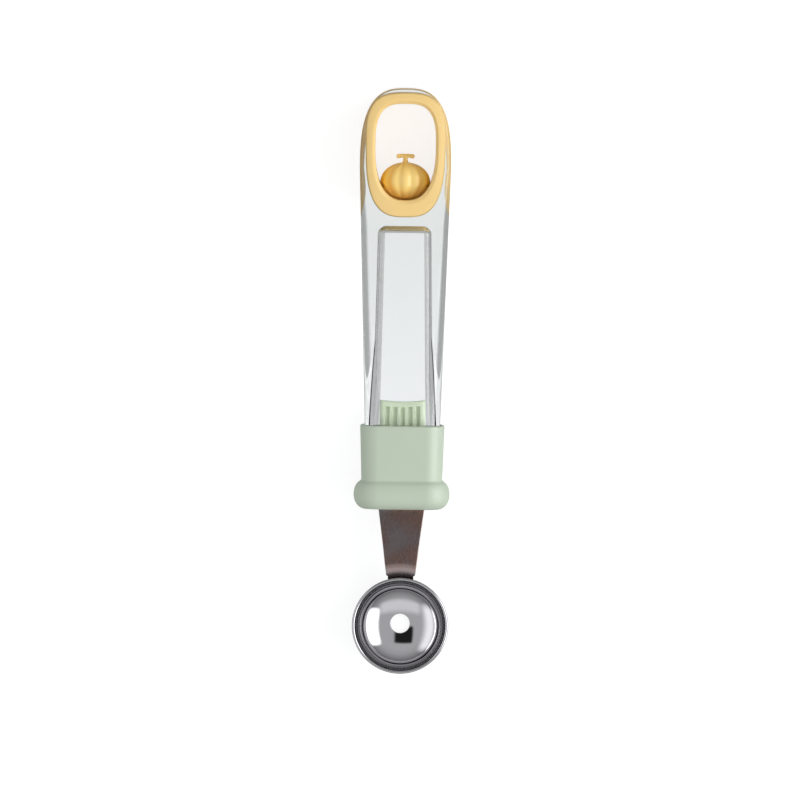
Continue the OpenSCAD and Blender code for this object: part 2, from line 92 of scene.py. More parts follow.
def unit(vectors: Array) -> Array:
    """Returns the vectors at length one."""
    return vectors / np.maximum(np.linalg.norm(vectors, axis=-1, keepdims=True), TINY)


def lerp(low: float, high: float, share: Array | float) -> Array | float:
    """Returns the value a share of the way from low to high."""
    return low + (high - low) * share


def share_of(value: Array | float, start: float, end: float) -> Array | float:
    """Returns how far value lies from start to end, held between 0 and 1."""
    return np.clip((value - start) / (end - start), 0.0, 1.0)


def smooth(share: Array) -> Array:
    """Returns a share eased at both ends: three of its square less two of its cube."""
    return share * share * (3.0 - 2.0 * share)


def facing(normals: Array, towards: Array) -> Array:
    """Returns the normals turned all together to the side that the given directions point to."""
    return normals * np.sign(np.sum(normals * towards))


def grid_normals(points: Array, closed: bool = False) -> Array:
    """Finds the normals of a grid from the differences between neighbouring points.

    The normal is the cross product of the step along the rows and the step along the columns. Where a
    row has shrunk to one point, it takes the mean direction of the row beside it.

    Args:
        points: Grid of rows and columns of positions.
        closed: True if the last column joins the first.

    Returns:
        Unit normals on the same grid, all to one side of the surface.
    """
    along = np.gradient(points, axis=0)
    if closed:
        across = np.roll(points, -1, axis=1) - np.roll(points, 1, axis=1)
    else:
        across = np.gradient(points, axis=1)
    normals = unit(np.cross(along, across))
    for pole, beside in ((0, 1), (-1, -2)):
        if np.ptp(points[pole], axis=0).max() < WELD:
            normals[pole] = unit(normals[beside].mean(axis=0))
    return normals


@dataclass(frozen=True)
class Egg:
    """Closed outline of two half superellipses that share their widest line.

    A point at the polar angle t lies where |x / half_width| ** n + |y / height| ** n is one, with the
    height and squareness n of the upper half over the widest line and of the lower half under it.
    """

    half_width: float
    middle: float
    up: float
    up_n: float
    down: float
    down_n: float

    def grown(self, gap: float) -> "Egg":
        """Returns the outline moved outwards by a gap."""
        return Egg(self.half_width + gap, self.middle, self.up + gap, self.up_n,
                   self.down + gap, self.down_n)

    def _halves(self, upper: Array) -> tuple[Array, Array]:
        """Returns the height and the squareness that hold at each point."""
        return np.where(upper, self.up, self.down), np.where(upper, self.up_n, self.down_n)

    def points(self, angle: Array) -> Array:
        """Works out points of the outline.

        The radius is the sum of the superellipse's two terms at the angle's unit vector, to the power
        of minus one over the squareness.

        Args:
            angle: Polar angles about the outline's middle.

        Returns:
            Points [x, y].
        """
        cos, sin = np.cos(angle), np.sin(angle)
        height, n = self._halves(sin >= 0)
        radius = (np.abs(cos / self.half_width) ** n + np.abs(sin / height) ** n) ** (-1 / n)
        return np.stack([radius * cos, self.middle + radius * sin], axis=-1)

    def level(self, points: Array) -> Array:
        """Works out the superellipse's sum, which is one on the outline and more outside it.

        Args:
            points: Points [x, y].

        Returns:
            The sum at each point.
        """
        height, n = self._halves(points[..., 1] >= self.middle)
        across, up = points[..., 0] / self.half_width, (points[..., 1] - self.middle) / height
        return np.abs(across) ** n + np.abs(up) ** n

    def outward(self, points: Array) -> Array:
        """Works out the directions out of the outline, which are those of the sum's gradient.

        Args:
            points: Points [x, y] on the outline.

        Returns:
            Unit directions [x, y].
        """
        x, y = points[..., 0], points[..., 1] - self.middle
        height, n = self._halves(y >= 0)
        slope_x = np.sign(x) * np.abs(x / self.half_width) ** (n - 1) / self.half_width
        slope_y = np.sign(y) * np.abs(y / height) ** (n - 1) / height
        return unit(np.stack([slope_x, slope_y], axis=-1))

    def floor_width(self, height: Array) -> Array:
        """Returns the half width of the lower half at heights over the lowest point."""
        drop = 1.0 - np.clip(height, 0.0, self.down) / self.down
        return self.half_width * (1.0 - drop ** self.down_n) ** (1 / self.down_n)


def round_rect(half_width: Array, half_depth: Array, radius: Array, arc: int,
               flat: int) -> tuple[Array, Array]:
    """Works out sections of a rectangle with round corners, one for each row of sizes.

    Each corner is a quarter circle about a point one radius inside both sides, and the front and back
    sides have flat more points at even steps.

    Args:
        half_width: Half size in X of each row's section.
        half_depth: Half size in Z of each row's section.
        radius: Corner radius of each row's section.
        arc: Points on each corner.
        flat: Points inside each front and back side.

    Returns:
        Offsets [x, z] from the section's centre and unit directions out of it, as rows of points.
    """
    given = (half_width, half_depth, radius)
    width, depth, r = (np.atleast_1d(np.asarray(v, float))[:, None] for v in given)
    rows = max(len(width), len(depth), len(r))
    turn = np.linspace(0.0, QUARTER, arc)
    steps = np.linspace(-1.0, 1.0, flat + 2)[1:-1]
    offsets, outward = [], []
    for corner, (side, face) in enumerate(((1, 1), (-1, 1), (-1, -1), (1, -1))):
        angle = turn + corner * QUARTER
        cos, sin = np.cos(angle), np.sin(angle)
        x, z = side * (width - r) + r * cos, face * (depth - r) + r * sin
        offsets.append(np.stack(np.broadcast_arrays(x, z), axis=-1))
        outward.append(np.broadcast_to(np.stack([cos, sin], axis=-1), offsets[-1].shape))
        if corner % 2 == 0:
            x = -face * steps * (width - r)
            offsets.append(np.stack(np.broadcast_arrays(x, face * depth), axis=-1))
            outward.append(np.broadcast_to([0.0, float(face)], offsets[-1].shape))
    offsets = [np.broadcast_to(o, (rows,) + o.shape[1:]) for o in offsets]
    outward = [np.broadcast_to(o, (rows,) + o.shape[1:]) for o in outward]
    return np.concatenate(offsets, axis=1), np.concatenate(outward, axis=1)


class Surface:
    """A closed surface, gathered from smooth patches in millimetres and welded along their seams."""

    def __init__(self) -> None:
        """Starts with no patches."""
        self._points: list[Array] = []
        self._normals: list[Array] = []
        self._quads: list[Array] = []
        self._count = 0

    def patch(self, points: Array, normals: Array, closed: bool = False) -> None:
        """Adds a grid of points, wound so that its faces look the way that its normals do.

        Args:
            points: Grid of rows and columns of positions.
            normals: Normals on that grid, or one normal for all of it.
            closed: True if the last column joins the first.
        """
        rows, columns = points.shape[:2]
        normals = unit(np.broadcast_to(np.asarray(normals, float), points.shape))
        index = np.arange(rows * columns).reshape(rows, columns)
        if closed:
            index = np.hstack([index, index[:, :1]])
        quads = np.stack([index[:-1, :-1], index[1:, :-1], index[1:, 1:], index[:-1, 1:]], axis=-1)
        quads = quads.reshape(-1, 4)
        corners = points.reshape(-1, 3)[quads]
        looks = np.cross(corners[:, 2] - corners[:, 0], corners[:, 3] - corners[:, 1])
        if np.sum(looks * normals.reshape(-1, 3)[quads].mean(axis=1)) < 0:
            quads = quads[:, ::-1]
        self._points.append(points.reshape(-1, 3))
        self._normals.append(normals.reshape(-1, 3))
        self._quads.append(quads + self._count)
        self._count += rows * columns

    def face(self, rim: Array, other: Array, normal: Triple) -> None:
        """Fills the flat band between two closed rims of as many points each."""
        self.patch(np.stack([rim, other]), np.array(normal), closed=True)

    def cap(self, rim: Array, normal: Triple) -> None:
        """Closes a flat rim with a fan about its mean point."""
        centre = np.broadcast_to(rim.mean(axis=0), rim.shape)
        self.patch(np.stack([rim, centre]), np.array(normal), closed=True)

    def build(self, name: str) -> bpy.types.Object:
        """Welds the patches into one mesh and keeps each patch's own normals.

        Args:
            name: Name of the new object.

        Returns:
            The object, at the origin, with its mesh in metres.
        """
        points, normals, quads = (np.concatenate(a) for a in (self._points, self._normals, self._quads))
        cells = np.floor(points / WELD + WELD_PHASE).astype(np.int64)
        _, first, welded = np.unique(cells, axis=0, return_index=True, return_inverse=True)
        corners = welded.reshape(-1)[quads]
        kept = corners != np.roll(corners, 1, axis=1)
        whole = kept.sum(axis=1) >= 3
        corners, kept, quads = corners[whole], kept[whole], quads[whole]
        sizes = kept.sum(axis=1)
        loops, loop_normals = corners[kept], normals[quads[kept]]
        mesh = bpy.data.meshes.new(name)
        mesh.vertices.add(len(first))
        mesh.vertices.foreach_set("co", (points[first] * MM).astype(np.float32).ravel())
        mesh.loops.add(len(loops))
        mesh.loops.foreach_set("vertex_index", loops.astype(np.int32))
        mesh.polygons.add(len(sizes))
        starts = np.concatenate([[0], np.cumsum(sizes)[:-1]])
        mesh.polygons.foreach_set("loop_start", starts.astype(np.int32))
        mesh.polygons.foreach_set("loop_total", sizes.astype(np.int32))
        mesh.polygons.foreach_set("use_smooth", np.ones(len(sizes), bool))
        mesh.update(calc_edges=True)
        mesh.normals_split_custom_set(loop_normals.tolist())
        piece = bpy.data.objects.new(name, mesh)
        bpy.context.scene.collection.objects.link(piece)
        return piece


def lofted(stations: Array, offsets: Array, outward: Array, axis_z: float,
           hole: bool = False) -> tuple[Array, Array]:
    """Works out a wall through sections across the tool's length.

    A point is its section's offset at its section's station, and its normal is the cross product of
    the section's own tangent and the step from one section to the next.

    Args:
        stations: Y of each section, a number or one for each of its points.
        offsets: Offsets [x, z] of each section's points from the axis.
        outward: Directions out of each section, in its plane.
        axis_z: Height of the axis.
        hole: True if the wall is that of a hole, which looks inwards.

    Returns:
        The grid of points and its normals.
    """
    stations = np.asarray(stations, float)
    y = np.broadcast_to(stations[:, None] if stations.ndim == 1 else stations, offsets.shape[:2])
    points = np.stack([offsets[..., 0], y, axis_z + offsets[..., 1]], axis=-1)
    tangent = np.stack([-outward[..., 1], np.zeros(outward.shape[:2]), outward[..., 0]], axis=-1)
    order = 2 if len(points) > 2 else 1
    normals = unit(np.cross(tangent, np.gradient(points, axis=0, edge_order=order)))
    level = np.stack([outward[..., 0], np.zeros(outward.shape[:2]), outward[..., 1]], axis=-1)
    sign = np.where(np.sum(normals * level) < 0, -1.0, 1.0)
    return points, normals * sign * (-1.0 if hole else 1.0)


class Tree:
    """A node tree with short calls to add and link its nodes."""

    def __init__(self, nodes: bpy.types.NodeTree) -> None:
        """Keeps the tree."""
        self.tree = nodes

    def add(self, kind: str, **settings: object) -> bpy.types.Node:
        """Adds a node.

        Args:
            kind: Name of the node's type.
            **settings: Attributes to set on it.

        Returns:
            The node.
        """
        node = self.tree.nodes.new(kind)
        for name, value in settings.items():
            setattr(node, name, value)
        return node

    def link(self, source: Socket, target: Socket) -> None:
        """Feeds one socket from another."""
        self.tree.links.new(source, target)

    def put(self, socket: Socket, value: object) -> None:
        """Feeds a socket from another socket, or sets it to a plain value."""
        if isinstance(value, Socket):
            self.link(value, socket)
        else:
            socket.default_value = value

    def math(self, operation: str, *values: object) -> Socket:
        """Adds a Math node.

        Args:
            operation: Its operation.
            *values: Sockets or numbers for its inputs, in order.

        Returns:
            The socket with its result.
        """
        node = self.add("ShaderNodeMath", operation=operation)
        for socket, value in zip(node.inputs, values):
            self.put(socket, value)
        return node.outputs[0]

    def vector(self, operation: str, *values: object) -> Socket:
        """Adds a Vector Math node.

        Args:
            operation: Its operation.
            *values: Sockets or vectors for its inputs, in order.

        Returns:
            The socket with its vector, or with its number where the operation gives one.
        """
        node = self.add("ShaderNodeVectorMath", operation=operation)
        for socket, value in zip(node.inputs, values):
            self.put(socket, value)
        return node.outputs["Value" if operation in ("LENGTH", "DOT_PRODUCT") else "Vector"]

    def ramp(self, value: object, low: object, high: object, out_low: float = 0.0,
             out_high: float = 1.0) -> Socket:
        """Maps a value from one range to another, held inside it and eased at both ends.

        Args:
            value: Socket or number to map.
            low: Value that gives out_low.
            high: Value that gives out_high.
            out_low: Result at low.
            out_high: Result at high.

        Returns:
            The socket with the result.
        """
        node = self.add("ShaderNodeMapRange", interpolation_type="SMOOTHSTEP")
        for name, number in zip(("Value", "From Min", "From Max", "To Min", "To Max"),
                                (value, low, high, out_low, out_high)):
            self.put(node.inputs[name], number)
        return node.outputs["Result"]

    def mix(self, factor: object, first: object, second: object) -> Socket:
        """Mixes two colours.

        Args:
            factor: Share of the second colour.
            first: Colour, or its socket, at a factor of 0.
            second: Colour, or its socket, at a factor of 1.

        Returns:
            The socket with the mix.
        """
        node = self.add("ShaderNodeMix", data_type="RGBA")
        # The node has sockets for every type of value: these are its factor and its two colours
        for socket, value in ((node.inputs[0], factor), (node.inputs[6], first), (node.inputs[7], second)):
            self.put(socket, (*value, 1.0) if isinstance(value, tuple) else value)
        return node.outputs[2]

    def noise(self, vector: object, scale: object, detail: float = 2.0) -> Socket:
        """Adds a noise between 0 and 1.

        Args:
            vector: Socket with the place that it is read at.
            scale: Socket or number of its cells per unit.
            detail: How many finer noises are laid over it.

        Returns:
            The socket with the noise.
        """
        node = self.add("ShaderNodeTexNoise")
        self.put(node.inputs["Vector"], vector)
        self.put(node.inputs["Scale"], scale)
        node.inputs["Detail"].default_value = detail
        return node.outputs[0]

    def object_space(self) -> Socket:
        """Returns the place on the piece, in metres in the tool's own frame."""
        return self.add("ShaderNodeTexCoord").outputs["Object"]

    def group(self, tree: bpy.types.NodeTree, **values: object) -> bpy.types.Node:
        """Places a shared group.

        Args:
            tree: The group.
            **values: Sockets or values of its inputs, whose names have _ for a space.

        Returns:
            The group's node.
        """
        node = self.add("ShaderNodeGroup", node_tree=tree)
        for name, value in values.items():
            self.put(node.inputs[name.replace("_", " ")], value)
        return node


class Effects:
    """Shader groups that more than one finish uses, each built once."""

    # Noises per metre: drift of tone, smudges; hair scratches along and across, and their turns
    DRIFT_SCALE = 70.0
    SMUDGE_SCALE = 140.0
    HAIR_SCALE = (60.0, 2600.0, 2600.0)
    HAIR_TURNS = (0.5, -0.9)
    # Noise levels between which a smudge and a scratch come in
    SMUDGE_RANGE = (0.5, 0.75)
    HAIR_RANGE = (0.72, 0.8)
    # How far the moulded grain moves the roughness
    GRAIN_SPREAD = 0.12
    # Cosines over which a panel's mask comes in, and the least cosine that it divides by
    AHEAD = 0.2
    LEAST_AHEAD = 0.001

    @staticmethod
    def _new(name: str, inputs: dict[str, object], outputs: dict[str, str]) -> tuple[Tree, Sockets, Sockets]:
        """Makes an empty group with named sockets.

        Args:
            name: Name of the group.
            inputs: Default of each input, a number, a colour or None for a vector.
            outputs: Kind of each output.

        Returns:
            The group's tree, the sockets that its inputs give, and those that its outputs take.
        """
        tree = bpy.data.node_groups.new(name, "ShaderNodeTree")
        for label, value in inputs.items():
            kind = "NodeSocketVector" if value is None else "NodeSocketFloat"
            kind = "NodeSocketColor" if isinstance(value, tuple) else kind
            socket = tree.interface.new_socket(label, in_out="INPUT", socket_type=kind)
            if value is not None:
                socket.default_value = value
        for label, kind in outputs.items():
            tree.interface.new_socket(label, in_out="OUTPUT", socket_type=kind)
        inner = Tree(tree)
        given = {s.name: s for s in inner.add("NodeGroupInput").outputs if s.name}
        taken = {s.name: s for s in inner.add("NodeGroupOutput").inputs if s.name}
        return inner, given, taken

    @classmethod
    @cache
    def moulded_skin(cls) -> bpy.types.NodeTree:
        """Builds the skin of moulded plastic: a slow drift of tone over a fine moulded grain.

        Returns:
            The group, which gives a colour, a roughness and a height.
        """
        inner, given, taken = cls._new(
            "moulded_skin",
            {"Color": (0.8, 0.8, 0.8, 1.0), "Drift": 0.05, "Grain": 1500.0, "Gloss": 0.4},
            {"Color": "NodeSocketColor", "Roughness": "NodeSocketFloat", "Height": "NodeSocketFloat"},
        )
        place = inner.object_space()
        slow = inner.noise(place, cls.DRIFT_SCALE, detail=3.0)
        grain = inner.noise(place, given["Grain"])
        tone = inner.math("MULTIPLY_ADD", inner.math("SUBTRACT", slow, 0.5), given["Drift"], 1.0)
        shaded = inner.vector("SCALE", given["Color"])
        inner.link(tone, shaded.node.inputs["Scale"])
        inner.link(shaded, taken["Color"])
        fine = inner.math("SUBTRACT", grain, 0.5)
        rough = inner.math("MULTIPLY_ADD", fine, cls.GRAIN_SPREAD, given["Gloss"])
        inner.link(rough, taken["Roughness"])
        inner.link(grain, taken["Height"])
        return inner.tree

    @classmethod
    @cache
    def metal_lines(cls) -> bpy.types.NodeTree:
        """Builds fine lines along the first axis of a vector, as a working tool leaves them.

        Returns:
            The group, which gives the lines' height from 0 to 1.
        """
        inner, given, taken = cls._new(
            "metal_lines",
            {"Vector": None, "Across": 9000.0, "Along": 90.0},
            {"Lines": "NodeSocketFloat"},
        )
        parts = inner.add("ShaderNodeSeparateXYZ")
        inner.link(given["Vector"], parts.inputs[0])
        joined = inner.add("ShaderNodeCombineXYZ")
        inner.link(inner.math("MULTIPLY", parts.outputs[0], given["Along"]), joined.inputs[0])
        for axis in (1, 2):
            inner.link(inner.math("MULTIPLY", parts.outputs[axis], given["Across"]), joined.inputs[axis])
        inner.link(inner.noise(joined.outputs[0], 1.0, detail=3.0), taken["Lines"])
        return inner.tree

    @classmethod
    @cache
    def handling_marks(cls) -> bpy.types.NodeTree:
        """Builds the marks of use: faint smudges, and hairline scratches in two directions.

        Returns:
            The group, which gives the marks' mask.
        """
        inner, given, taken = cls._new(
            "handling_marks",
            {"Smudge": 0.5, "Scratch": 0.5},
            {"Mask": "NodeSocketFloat"},
        )
        place = inner.object_space()
        smudge = inner.ramp(inner.noise(place, cls.SMUDGE_SCALE, detail=4.0), *cls.SMUDGE_RANGE)
        total = inner.math("MULTIPLY", smudge, given["Smudge"])
        for turn in cls.HAIR_TURNS:
            mapping = inner.add("ShaderNodeMapping")
            inner.link(place, mapping.inputs["Vector"])
            mapping.inputs["Rotation"].default_value = (0.0, 0.0, turn)
            mapping.inputs["Scale"].default_value = cls.HAIR_SCALE
            hair = inner.noise(mapping.outputs[0], 1.0, detail=1.0)
            hair = inner.ramp(hair, *cls.HAIR_RANGE)
            total = inner.math("ADD", total, inner.math("MULTIPLY", hair, given["Scratch"]))
        inner.link(total, taken["Mask"])
        return inner.tree

    @classmethod
    @cache
    def panel_mask(cls) -> bpy.types.NodeTree:
        """Builds the mask of a soft-edged panel seen in a direction.

        The direction's parts along the panel's side and up, over its part along the panel's middle, are
        the tangents of the angles from the middle. The mask fades between the outer and inner ones.

        Returns:
            The group, which gives the mask.
        """
        inner, given, taken = cls._new(
            "panel_mask",
            {"Direction": None, "Middle": None, "Side": None, "Up": None,
             "Outer X": 0.3, "Inner X": 0.2, "Outer Y": 0.3, "Inner Y": 0.2},
            {"Mask": "NodeSocketFloat"},
        )
        ahead = inner.vector("DOT_PRODUCT", given["Direction"], given["Middle"])
        mask = inner.ramp(ahead, 0.0, cls.AHEAD)
        for axis, letter in (("Side", "X"), ("Up", "Y")):
            part = inner.vector("DOT_PRODUCT", given["Direction"], given[axis])
            divisor = inner.math("MAXIMUM", ahead, cls.LEAST_AHEAD)
            tangent = inner.math("DIVIDE", inner.math("ABSOLUTE", part), divisor)
            inside = inner.ramp(tangent, given["Outer " + letter], given["Inner " + letter])
            mask = inner.math("MULTIPLY", mask, inside)
        inner.link(mask, taken["Mask"])
        return inner.tree


def started(name: str) -> tuple[bpy.types.Material, Tree, bpy.types.Node, bpy.types.Node]:
    """Starts a material.

    Args:
        name: Name of the material.

    Returns:
        The material, its tree, its Principled shader and its output, not yet joined.
    """
    material = bpy.data.materials.new(name)
    material.use_nodes = True
    material.node_tree.nodes.clear()
    tree = Tree(material.node_tree)
    return material, tree, tree.add("ShaderNodeBsdfPrincipled"), tree.add("ShaderNodeOutputMaterial")


def bumped(tree: Tree, shader: bpy.types.Node, height: Socket, strength: float, distance: float) -> None:
    """Feeds a shader's normal from a height.

    Args:
        tree: The material's tree.
        shader: The shader.
        height: Socket with the height, from 0 to 1.
        strength: How strongly the normal follows it.
        distance: What a height of 1 stands for, in millimetres.
    """
    bump = tree.add("ShaderNodeBump")
    bump.inputs["Strength"].default_value = strength
    bump.inputs["Distance"].default_value = distance * MM
    tree.link(height, bump.inputs["Height"])
    tree.link(bump.outputs[0], shader.inputs["Normal"])


@dataclass(frozen=True)
class MouldedPlastic:
    """Opaque moulded plastic, with painted shading: a tone that deepens towards a round piece's sides, if
    given.
    """

    slot: Slot
    colour: Colour
    gloss: float
    drift: float = 0.06
    grain: float = 1600.0
    relief: float = 0.02
    relief_depth: float = 0.1
    sheen: float = 0.5
    # Painted shading: a deeper, more saturated colour that stands in for how light looks at the sides of a
    # rounded translucent piece, reached between two distances in millimetres from its middle
    side_shading: Colour | None = None
    side_shading_from: float = 0.0
    side_shading_to: float = 1.0

    def material(self) -> bpy.types.Material:
        """Builds the material: the shared skin over the plain colour, or over one with painted side shading.

        Returns:
            The material.
        """
        material, tree, shader, output = started(self.slot.value)
        colour: object = (*self.colour, 1.0)
        # Painted shading: the colour deepens with the distance from the piece's middle in X
        if self.side_shading is not None:
            parts = tree.add("ShaderNodeSeparateXYZ")
            tree.link(tree.object_space(), parts.inputs[0])
            side = tree.ramp(tree.math("ABSOLUTE", parts.outputs[0]), self.side_shading_from * MM, self.side_shading_to * MM)
            colour = tree.mix(side, self.colour, self.side_shading)
        skin = tree.group(Effects.moulded_skin(), Color=colour, Drift=self.drift, Grain=self.grain,
                          Gloss=self.gloss)
        tree.link(skin.outputs["Color"], shader.inputs["Base Color"])
        tree.link(skin.outputs["Roughness"], shader.inputs["Roughness"])
        bumped(tree, shader, skin.outputs["Height"], self.relief, self.relief_depth)
        shader.inputs["Specular IOR Level"].default_value = self.sheen
        tree.link(shader.outputs[0], output.inputs["Surface"])
        return material


@dataclass(frozen=True)
class ClearPlastic:
    """Clear moulded plastic that lets the lamps through, with faint marks of use on its skin."""

    slot: Slot = Slot.CLEAR
    tint: Colour = (1.0, 1.0, 1.0)
    shade: Colour = (0.98, 0.99, 0.985)
    depth_tint: Colour = (0.2, 0.25, 0.165)
    depth_density: float = 20.0
    gloss: float = 0.015
    marks: float = 0.05
    smudge: float = 0.35
    scratch: float = 0.6
    ior: float = 1.49

    def material(self) -> bpy.types.Material:
        """Builds the material: glass for what is seen, a plain tinted pane for the lamps' rays.

        Its depth takes light away by a plain absorption, so thick stretches look greyer than thin.

        Returns:
            The material.
        """
        material, tree, shader, output = started(self.slot.value)
        shader.inputs["Base Color"].default_value = (*self.tint, 1.0)
        shader.inputs["Transmission Weight"].default_value = 1.0
        shader.inputs["IOR"].default_value = self.ior
        marks = tree.group(Effects.handling_marks(), Smudge=self.smudge, Scratch=self.scratch)
        rough = tree.math("MULTIPLY_ADD", marks.outputs["Mask"], self.marks, self.gloss)
        tree.link(rough, shader.inputs["Roughness"])
        pane = tree.add("ShaderNodeBsdfTransparent")
        pane.inputs["Color"].default_value = (*self.shade, 1.0)
        mix = tree.add("ShaderNodeMixShader")
        tree.link(tree.add("ShaderNodeLightPath").outputs["Is Shadow Ray"], mix.inputs[0])
        tree.link(shader.outputs[0], mix.inputs[1])
        tree.link(pane.outputs[0], mix.inputs[2])
        tree.link(mix.outputs[0], output.inputs["Surface"])
        depth = tree.add("ShaderNodeVolumeAbsorption")
        depth.inputs["Color"].default_value = (*self.depth_tint, 1.0)
        depth.inputs["Density"].default_value = self.depth_density
        tree.link(depth.outputs[0], output.inputs["Volume"])
        return material


class Lay(Enum):
    """Which way the working lines of a steel piece run."""

    ALONG = "along the tool"
    ROUND = "round the scoop's upright axis"


@dataclass(frozen=True)
class Steel:
    """Bare steel with fine working lines and faint marks of use."""

    slot: Slot
    lay: Lay
    colour: Colour
    gloss: float
    line_gloss: float
    line_relief: float
    centre: Pair = (0.0, 0.0)
    stain: Colour | None = None
    stain_scale: float = 90.0
    stain_range: Pair = (0.42, 0.68)
    line_tone: float = 0.25
    line_depth: float = 0.05
    marks: float = 0.5
    mark_gloss: float = 0.05

    def material(self) -> bpy.types.Material:
        """Builds the material, with its lines along the tool or round the scoop.

        Returns:
            The material.
        """
        material, tree, shader, output = started(self.slot.value)
        place = tree.object_space()
        parts = tree.add("ShaderNodeSeparateXYZ")
        joined = tree.add("ShaderNodeCombineXYZ")
        if self.lay is Lay.ROUND:
            local = tree.vector("SUBTRACT", place, (self.centre[0] * MM, self.centre[1] * MM, 0.0))
            tree.link(local, parts.inputs[0])
            level = tree.vector("MULTIPLY", local, (1.0, 1.0, 0.0))
            tree.link(tree.vector("LENGTH", level), joined.inputs[1])
            tree.link(parts.outputs[2], joined.inputs[2])
        else:
            tree.link(place, parts.inputs[0])
            for source, target in ((1, 0), (0, 1), (2, 2)):
                tree.link(parts.outputs[source], joined.inputs[target])
        lines = tree.group(Effects.metal_lines(), Vector=joined.outputs[0]).outputs["Lines"]
        marks = tree.group(Effects.handling_marks(), Smudge=self.marks, Scratch=self.marks).outputs["Mask"]
        colour: object = self.colour
        if self.stain is not None:
            patch = tree.ramp(tree.noise(place, self.stain_scale, detail=3.0), *self.stain_range)
            colour = tree.mix(patch, self.colour, self.stain)
        tone = tree.math("MULTIPLY_ADD", tree.math("SUBTRACT", lines, 0.5), self.line_tone, 1.0)
        shaded = tree.vector("SCALE", colour)
        tree.link(tone, shaded.node.inputs["Scale"])
        tree.link(shaded, shader.inputs["Base Color"])
        shader.inputs["Metallic"].default_value = 1.0
        rough = tree.math("MULTIPLY_ADD", lines, self.line_gloss, self.gloss)
        tree.link(tree.math("MULTIPLY_ADD", marks, self.mark_gloss, rough), shader.inputs["Roughness"])
        bumped(tree, shader, lines, self.line_relief, self.line_depth)
        tree.link(shader.outputs[0], output.inputs["Surface"])
        return material


@dataclass(frozen=True)
class Place:
    """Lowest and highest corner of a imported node, in millimetres."""

    low: Triple
    high: Triple

    @classmethod
    def of(cls, node: str) -> "Place":
        """Reads a node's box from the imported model."""
        low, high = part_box(node)
        return cls(tuple(v / MM for v in low), tuple(v / MM for v in high))

    def size(self, axis: int) -> float:
        """Returns the box's size along an axis."""
        return self.high[axis] - self.low[axis]

    def middle(self, axis: int) -> float:
        """Returns the box's middle along an axis."""
        return (self.high[axis] + self.low[axis]) / 2


def dress(piece: bpy.types.Object, body: Body, node: str, material: bpy.types.Material) -> None:
    """Gives a piece its material and slot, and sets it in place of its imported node.

    Args:
        piece: The finished piece.
        body: Body that it rides on.
        node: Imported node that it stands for.
        material: Its material.
    """
    piece.data.materials.append(material)
    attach(piece, body.value)
    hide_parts(node)
    LOG.info("%s stands for %s: %d faces", piece.name, node, len(piece.data.polygons))


@dataclass(frozen=True)
class RingSizes:
    """Sizes of the window's lining that its pocket and its melon share."""

    fit: float = 0.05
    n: float = 3.0
    middle_share: float = 0.62
    opening_w: float = 18.1
    top_band: float = 3.2
    bottom_band: float = 4.9
    opening_share: float = 0.54
    opening_top_n: float = 3.1
    opening_bottom_n: float = 2.5
    # The melon's tongue, and the gap round it in the lining's groove
    tongue_t: float = 2.4
    tongue_depth: float = 1.4
    tongue_rise: float = 4.48
    tongue_fit: float = 0.05

    def outline(self, place: Place) -> Egg:
        """Returns the ring's outer outline in its node's box."""
        middle = place.low[1] + self.middle_share * place.size(1)
        return Egg(place.size(0) / 2, middle, place.high[1] - middle, self.n, middle - place.low[1], self.n)

    def opening(self, place: Place) -> Egg:
        """Works out the outline of the opening inside the ring.

        Args:
            place: Box of the ring's node.

        Returns:
            The outline.
        """
        low, high = place.low[1] + self.bottom_band, place.high[1] - self.top_band
        middle = low + self.opening_share * (high - low)
        return Egg(self.opening_w / 2, middle, high - middle, self.opening_top_n,
                   middle - low, self.opening_bottom_n)


